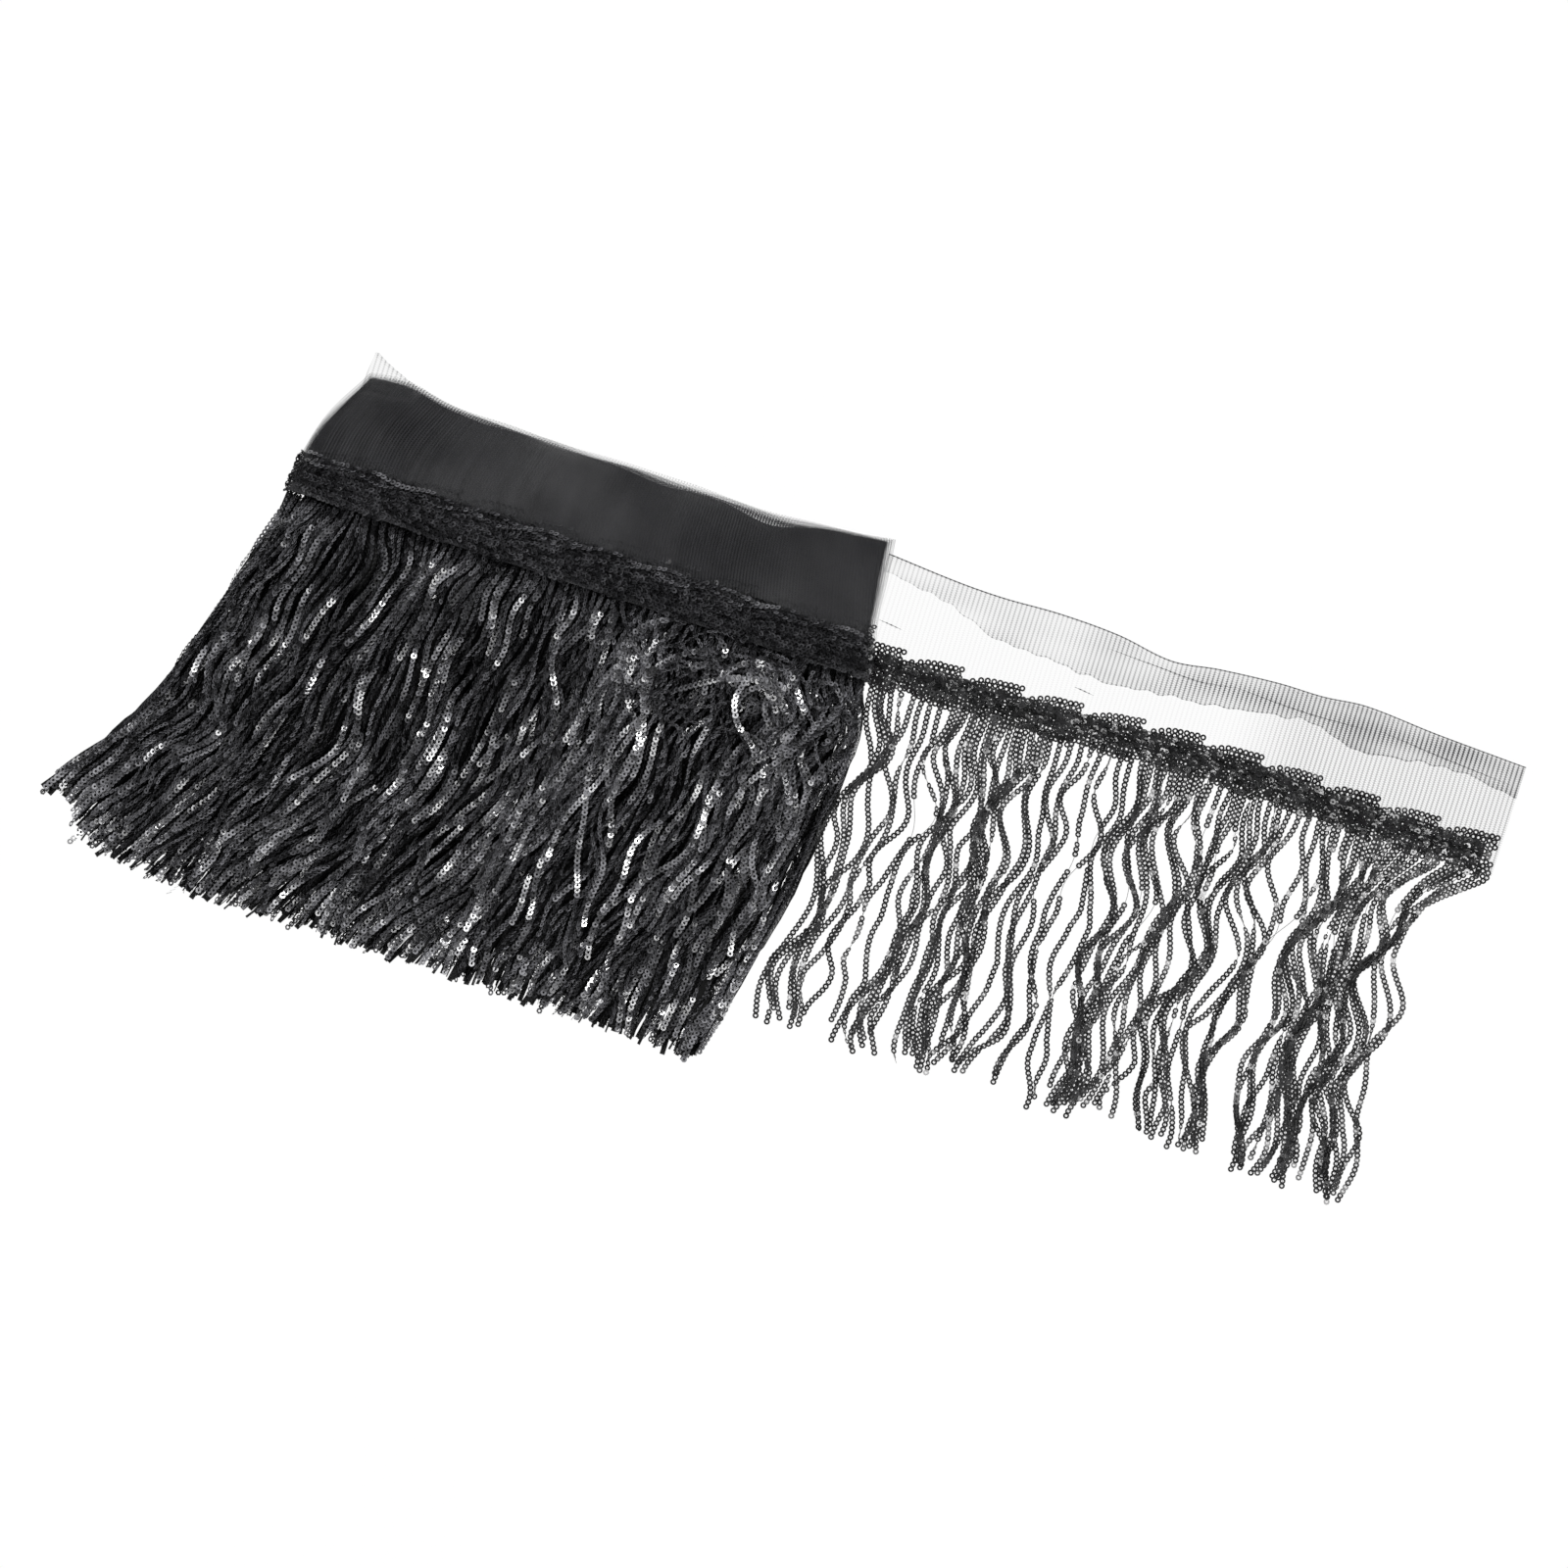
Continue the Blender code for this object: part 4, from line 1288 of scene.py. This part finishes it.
def tangle_paths(pitch):
    """Strands on top that swirl about near the band at the bolt's right before they hang down."""
    chance = random.Random(77)
    paths = []
    for _ in range(TANGLE_STRANDS):
        y = chance.uniform(0.0480, 0.0640)
        x = chance.uniform(-0.105, 0.015)
        own = chance.uniform(-TANGLE_OWN, TANGLE_OWN)
        aside = chance.uniform(-TANGLE_ASIDE, TANGLE_ASIDE)
        below = chance.uniform(-TANGLE_ASIDE, TANGLE_ASIDE)
        lift = chance.uniform(0.0, 0.0018)
        places = []
        for _ in range(TANGLE_STEPS):
            bend = float(tangle_bends.at(x + aside, y + below) + own)
            heading = own * 0.5 - 0.12 + (0.28 + 1.75 * float(in_tangle(x, y))) * bend
            heading -= 1.1 * max(0.0, 1.0 - (float(bolt_right(y)) - x) / 0.020)
            x += pitch * math.sin(heading)
            y -= pitch * math.cos(heading)
            x = min(max(x, float(bolt_left(y)) + 0.002), float(bolt_right(y)) - 0.001)
            places.append((x, y))
        flat = np.array(places)
        flat = flat[(flat[:, 1] < 0.070) & (flat[:, 1] > bolt_tips(flat[:, 0]))]
        paths.append(np.column_stack([flat, bumpy_heap(flat[:, 0], flat[:, 1]) - 0.0008 + lift]))
    return paths


def heap_twist(steps, chance, flat_share):
    """How the sequins of a strand on the heap turn: stretches on edge, and flat ones here and there."""
    sign = chance.choice((-1.0, 1.0))
    knots = [0.0, 0.008]
    turns = [sign, sign]
    place = 0.014
    while place < steps[-1]:
        if chance.random() < flat_share:
            turn = chance.gauss(0.0, FLAT_SPREAD)
            length = chance.uniform(*FLAT_LENGTHS)
        else:
            turn = sign * chance.uniform(*EDGE_TURNS)
            length = chance.uniform(*EDGE_LENGTHS)
        knots += [place, place + length]
        turns += [turn, turn + chance.gauss(0.0, 0.10)]
        place += length + chance.uniform(*TURN_LENGTHS)
    tip = steps[-1] - chance.uniform(0.004, 0.010)
    if chance.random() < FLAT_TIPS and tip > 0.03:
        kept = [number for number, knot in enumerate(knots) if knot < tip - 0.004]
        knots = [knots[number] for number in kept] + [tip, steps[-1]]
        turns = [turns[number] for number in kept] + [chance.gauss(0.0, 0.35)] * 2
    uneven = np.array([chance.gauss(0.0, 0.07) for _ in steps])
    return np.interp(steps, knots, turns) + uneven


class TRIM_OT_bolt_strands(bpy.types.Operator):
    """Heaps the bolt's chains of sequins, layer on layer."""

    bl_idname = "trim.bolt_strands"
    bl_label = "Bolt Strands"

    def execute(self, context):
        sizes = context.scene.trim_sizes
        for number, layer in enumerate(STRAND_LAYERS):
            sequins = Sequins(RING_SIDES if number < FINE_LAYERS else LOW_RING_SIDES, sizes)
            chance = random.Random(layer.seed + 7)
            self.lay(sequins, heap_paths(layer, LAYER_STEPS), sizes, chance, FLAT_SHARE, layer.light)
            sequins.piece(f"bolt_strands_{number + 1}", heap_painted_light_material(sizes), "wound_fringe")
        sequins = Sequins(RING_SIDES, sizes)
        paths = tangle_paths(sizes.chain_pitch)
        self.lay(sequins, paths, sizes, random.Random(79), TANGLE_FLAT_SHARE, TANGLE_PAINTED_LIGHT)
        sequins.piece("bolt_tangle", heap_painted_light_material(sizes), "wound_fringe")
        return {"FINISHED"}

    def lay(self, sequins, paths, sizes, chance, flat_share, light):
        """Threads sequins along each path."""
        for path in paths:
            path, steps = even_steps(path, sizes.chain_pitch)
            if len(path) < 4:
                continue
            twist = heap_twist(steps, chance, flat_share)
            upright = sizes.sequin_diameter / 2.0 * np.abs(np.sin(twist))
            path[:, 2] = np.maximum(path[:, 2], FLOOR_GAP + upright)
            # Painted light and shade: the layer's light times a random tone per strand, with painted shade
            # on the first rings next to the band's edge
            shade = light * chance.uniform(0.45, 1.45) * np.clip(steps / 0.006, 0.35, 1.0)
            sequins.add(path, lean_sequins(*path_frames(path), twist, HEAP_SHINGLE), shade)


class TRIM_OT_bolt_heap(bpy.types.Operator):
    """Fills the inside of the bolt's heap with strands that show only in its gaps."""

    bl_idname = "trim.bolt_heap"
    bl_label = "Bolt Heap"

    def execute(self, context):
        sizes = context.scene.trim_sizes
        chance = random.Random(88)
        steps = np.linspace(0.0, DEEP_LENGTH, DEEP_STEPS)
        cloth = Cloth()
        for number, depth in enumerate(DEEP_LAYERS):
            layer = StrandLayer(sizes.deep_strands, depth, 0.6, 0.3, 200 + number)
            for path in heap_paths(layer, DEEP_STEPS):
                self.add_ribbon(cloth, path, heap_twist(steps, chance, FLAT_SHARE))
        cloth.piece("bolt_deep_strands", chain_material(sizes), "sequins", "wound_fringe")
        self.add_bed(sizes)
        return {"FINISHED"}

    def add_ribbon(self, cloth, path, twist):
        """A flat twisted strip along a path, its chart the steps along it and its two sides."""
        along, level, up = path_frames(path)
        side = level * np.cos(twist)[:, None] + up * np.sin(twist)[:, None]
        for number, edge in enumerate((path - side * CHAIN_WIDTH / 2.0, path + side * CHAIN_WIDTH / 2.0)):
            cloth.add_row(edge.T, (path_lengths(path), np.full(len(path), float(number))))
        cloth.join_rows(2, len(path))

    def add_bed(self, sizes):
        """A dark bed of packed strands under the layers that show, dark with the strips' painted shade."""
        share = np.linspace(0.0, 1.0, BED_COLUMNS)
        cloth = Cloth()
        for step in np.linspace(0.0, 1.0, BED_ROWS):
            level = between(0.070, -0.118, step)
            x = between(bolt_left(level) + 0.010, bolt_right(level) - 0.010, share)
            y = np.maximum(level, bolt_tips(x) + 0.020)
            z = 0.42 * heap_height(x, y) + 0.0006 * bed_ridges.at(x, y)
            cloth.add_row((x, y, z), (y, share * BED_COLUMNS * 0.5))
        cloth.join_rows(BED_ROWS, BED_COLUMNS)
        cloth.piece("bolt_bed", chain_material(sizes), "sequins", "wound_fringe")


class TRIM_OT_bolt_leaves(bpy.types.Operator):
    """Winds the bolt's leaf band: its outer turn, and the turn under the net that slipped up."""

    bl_idname = "trim.bolt_leaves"
    bl_label = "Bolt Leaf Band"

    def execute(self, context):
        sizes = context.scene.trim_sizes
        chance = random.Random(91)
        outer, *inner = LEAF_TURNS
        sequins = Sequins(RING_SIDES, sizes)
        wrap_leaves(sequins, outer, chance, False)
        for chain in EDGE_CHAINS:
            self.edge_chain(sequins, chain)
        sequins.piece("bolt_leaf_band", heap_painted_light_material(sizes), "wound_fringe")
        sequins = Sequins(RING_SIDES, sizes)
        for turn in inner:
            wrap_leaves(sequins, turn, chance, True)
        sequins.piece("bolt_inner_leaf_band", heap_painted_light_material(sizes), "wound_fringe")
        return {"FINISHED"}

    def edge_chain(self, sequins, chain):
        """One chain that lies plain to see along the leaves' upper edge."""
        x = np.arange(-0.266, 0.014, 0.0025)
        y = bolt_spine(x) + chain.away + chain.wave * np.sin(2.0 * math.pi * x / LEAF_PITCH + chain.start)
        path = np.column_stack([x, y, bolt_height(y) + 0.0018])
        twist = 1.0 + 0.25 * edge_lean.at(x, 10.0 * chain.start)
        # Full shade: these chains keep the heap's painted light, lighter than the band's rows
        sequins.add(path, lean_sequins(*path_frames(path), twist, HEAP_SHINGLE), 1.0)


class TRIM_OT_bolt_net(bpy.types.Operator):
    """Winds the bolt's net, its outer turns sheer and a little out of line."""

    bl_idname = "trim.bolt_net"
    bl_label = "Bolt Net"

    def execute(self, context):
        sizes = context.scene.trim_sizes
        share = np.linspace(0.0, 1.0, NET_COLUMNS, endpoint=False)
        cloth = Cloth()
        for number, turn in enumerate(NET_TURNS):
            waves = Waves(401 + number, 0.050, 0.030)
            for step in np.linspace(0.0, 1.0, NET_ROWS):
                level = between(*NET_LEVELS, step)
                left = bolt_left(level) + turn.inset
                right = bolt_right(level) - turn.inset + turn.reach
                high = bolt_height(level) - turn.inset
                x, z, out_x, out_z = racetrack(share, left, right, turn.inset, high)
                dip = sum(np.exp(-(((x - middle) / wide) ** 2)) for middle, wide in NET_DIPS)
                selvage = bolt_selvage(x) + turn.slip - NET_DIP * dip * turn.cover**2
                selvage += SELVAGE_RIPPLE * waves.at(x, z)
                y = between(bolt_spine(x) - NET_BELOW_VEIN, selvage, step)
                ripple = NET_RIPPLE * waves.at(x, y)
                place = (x + out_x * ripple, y, z + out_z * ripple)
                cover = turn.cover * (1.0 if step < 1.0 else SELVAGE_COVER)
                cloth.add_row(place, (share * NET_AROUND, y), cover)
            cloth.join_rows(NET_ROWS, NET_COLUMNS, closed=True)
        piece = cloth.piece("bolt_tulle", net_material(sizes), "net", "wound_net")
        self.add_corner(sizes)
        return {"FINISHED"}

    def add_corner(self, sizes):
        """The sheer corner of an inner turn that sticks up past the selvage."""
        share = np.linspace(0.0, 1.0, CORNER_COLUMNS)
        cloth = Cloth()
        for step in np.linspace(0.0, 1.0, CORNER_ROWS):
            x = between(-0.2530, -0.2290, share)
            top = between(0.1397, 0.1298, np.clip((share - 0.10) / 0.9, 0.0, 1.0) ** 0.8)
            y = between(0.1200, top, step)
            x = x + 0.0020 * step
            z = 0.0088 + 0.0012 * np.sin(share * math.pi) * step
            cloth.add_row((x, y, z), (x, y), 0.30 if step == 1.0 else 0.16)
        cloth.join_rows(CORNER_ROWS, CORNER_COLUMNS)
        piece = cloth.piece("bolt_net_corner", net_material(sizes), "net", "wound_net")


# The stage


class TRIM_OT_stage(bpy.types.Operator):
    """Sets a white floor, soft lights and a camera straight above the trim."""

    bl_idname = "trim.stage"
    bl_label = "Stage"

    def execute(self, context):
        scene = context.scene
        self.add_floor(scene)
        for lamp in LAMPS:
            self.add_lamp(scene, lamp)
        scene.world = bpy.data.worlds.new("studio")
        scene.world.use_nodes = True
        back = scene.world.node_tree.nodes["Background"]
        back.inputs["Color"].default_value = grey(1.0)
        back.inputs["Strength"].default_value = WORLD_LIGHT
        scene.view_settings.view_transform = "Standard"
        camera = bpy.data.cameras.new("camera")
        camera.sensor_width = CAMERA_SENSOR
        camera.lens = CAMERA_SENSOR * CAMERA_HEIGHT / VIEW_WIDTH
        camera.clip_end = 20.0
        eye = bpy.data.objects.new("camera", camera)
        turned = Matrix.Rotation(math.radians(CAMERA_TURN), 4, "Z")
        eye.matrix_world = Matrix.Translation((0.0, 0.0, CAMERA_HEIGHT)) @ turned
        scene.collection.objects.link(eye)
        scene.camera = eye
        return {"FINISHED"}

    def add_floor(self, scene):
        corners = [(-1.0, -1.0, 0.0), (1.0, -1.0, 0.0), (1.0, 1.0, 0.0), (-1.0, 1.0, 0.0)]
        mesh = bpy.data.meshes.new("floor")
        mesh.from_pydata([Vector(corner) * FLOOR_SIZE for corner in corners], [], [(0, 1, 2, 3)])
        mesh.materials.append(material_named("white_floor", dress_floor))
        floor = bpy.data.objects.new("floor", mesh)
        scene.collection.objects.link(floor)

    def add_lamp(self, scene, lamp):
        """A soft lamp that looks at the trim."""
        light = bpy.data.lights.new(lamp.name, "AREA")
        light.size = lamp.width
        light.energy = lamp.power
        stand = bpy.data.objects.new(lamp.name, light)
        stand.location = lamp.place
        stand.rotation_euler = Vector(lamp.place).to_track_quat("Z", "Y").to_euler()
        scene.collection.objects.link(stand)


class TRIM_PT_panel(bpy.types.Panel):
    """Lists the trim's sizes and its pieces."""

    bl_idname = "TRIM_PT_panel"
    bl_label = "Sequin Fringe Trim"
    bl_space_type = "VIEW_3D"
    bl_region_type = "UI"
    bl_category = "Trim"

    def draw(self, context):
        sizes = context.scene.trim_sizes
        for name in TrimSizes.__annotations__:
            self.layout.prop(sizes, name)
        for operator in OPERATORS:
            self.layout.operator(operator.bl_idname)


OPERATORS = (
    TRIM_OT_stage,
    TRIM_OT_bolt_net,
    TRIM_OT_bolt_leaves,
    TRIM_OT_bolt_strands,
    TRIM_OT_bolt_heap,
    TRIM_OT_loose_net,
    TRIM_OT_loose_leaves,
    TRIM_OT_loose_strands,
)
CLASSES = (TrimSizes, *OPERATORS, TRIM_PT_panel)


def register():
    for item in CLASSES:
        bpy.utils.register_class(item)
    bpy.types.Scene.trim_sizes = PointerProperty(type=TrimSizes)


def unregister():
    del bpy.types.Scene.trim_sizes
    for item in reversed(CLASSES):
        bpy.utils.unregister_class(item)


def main():
    register()
    for operator in OPERATORS:
        group, name = operator.bl_idname.split(".")
        getattr(getattr(bpy.ops, group), name)()


if __name__ == "__main__":
    main()
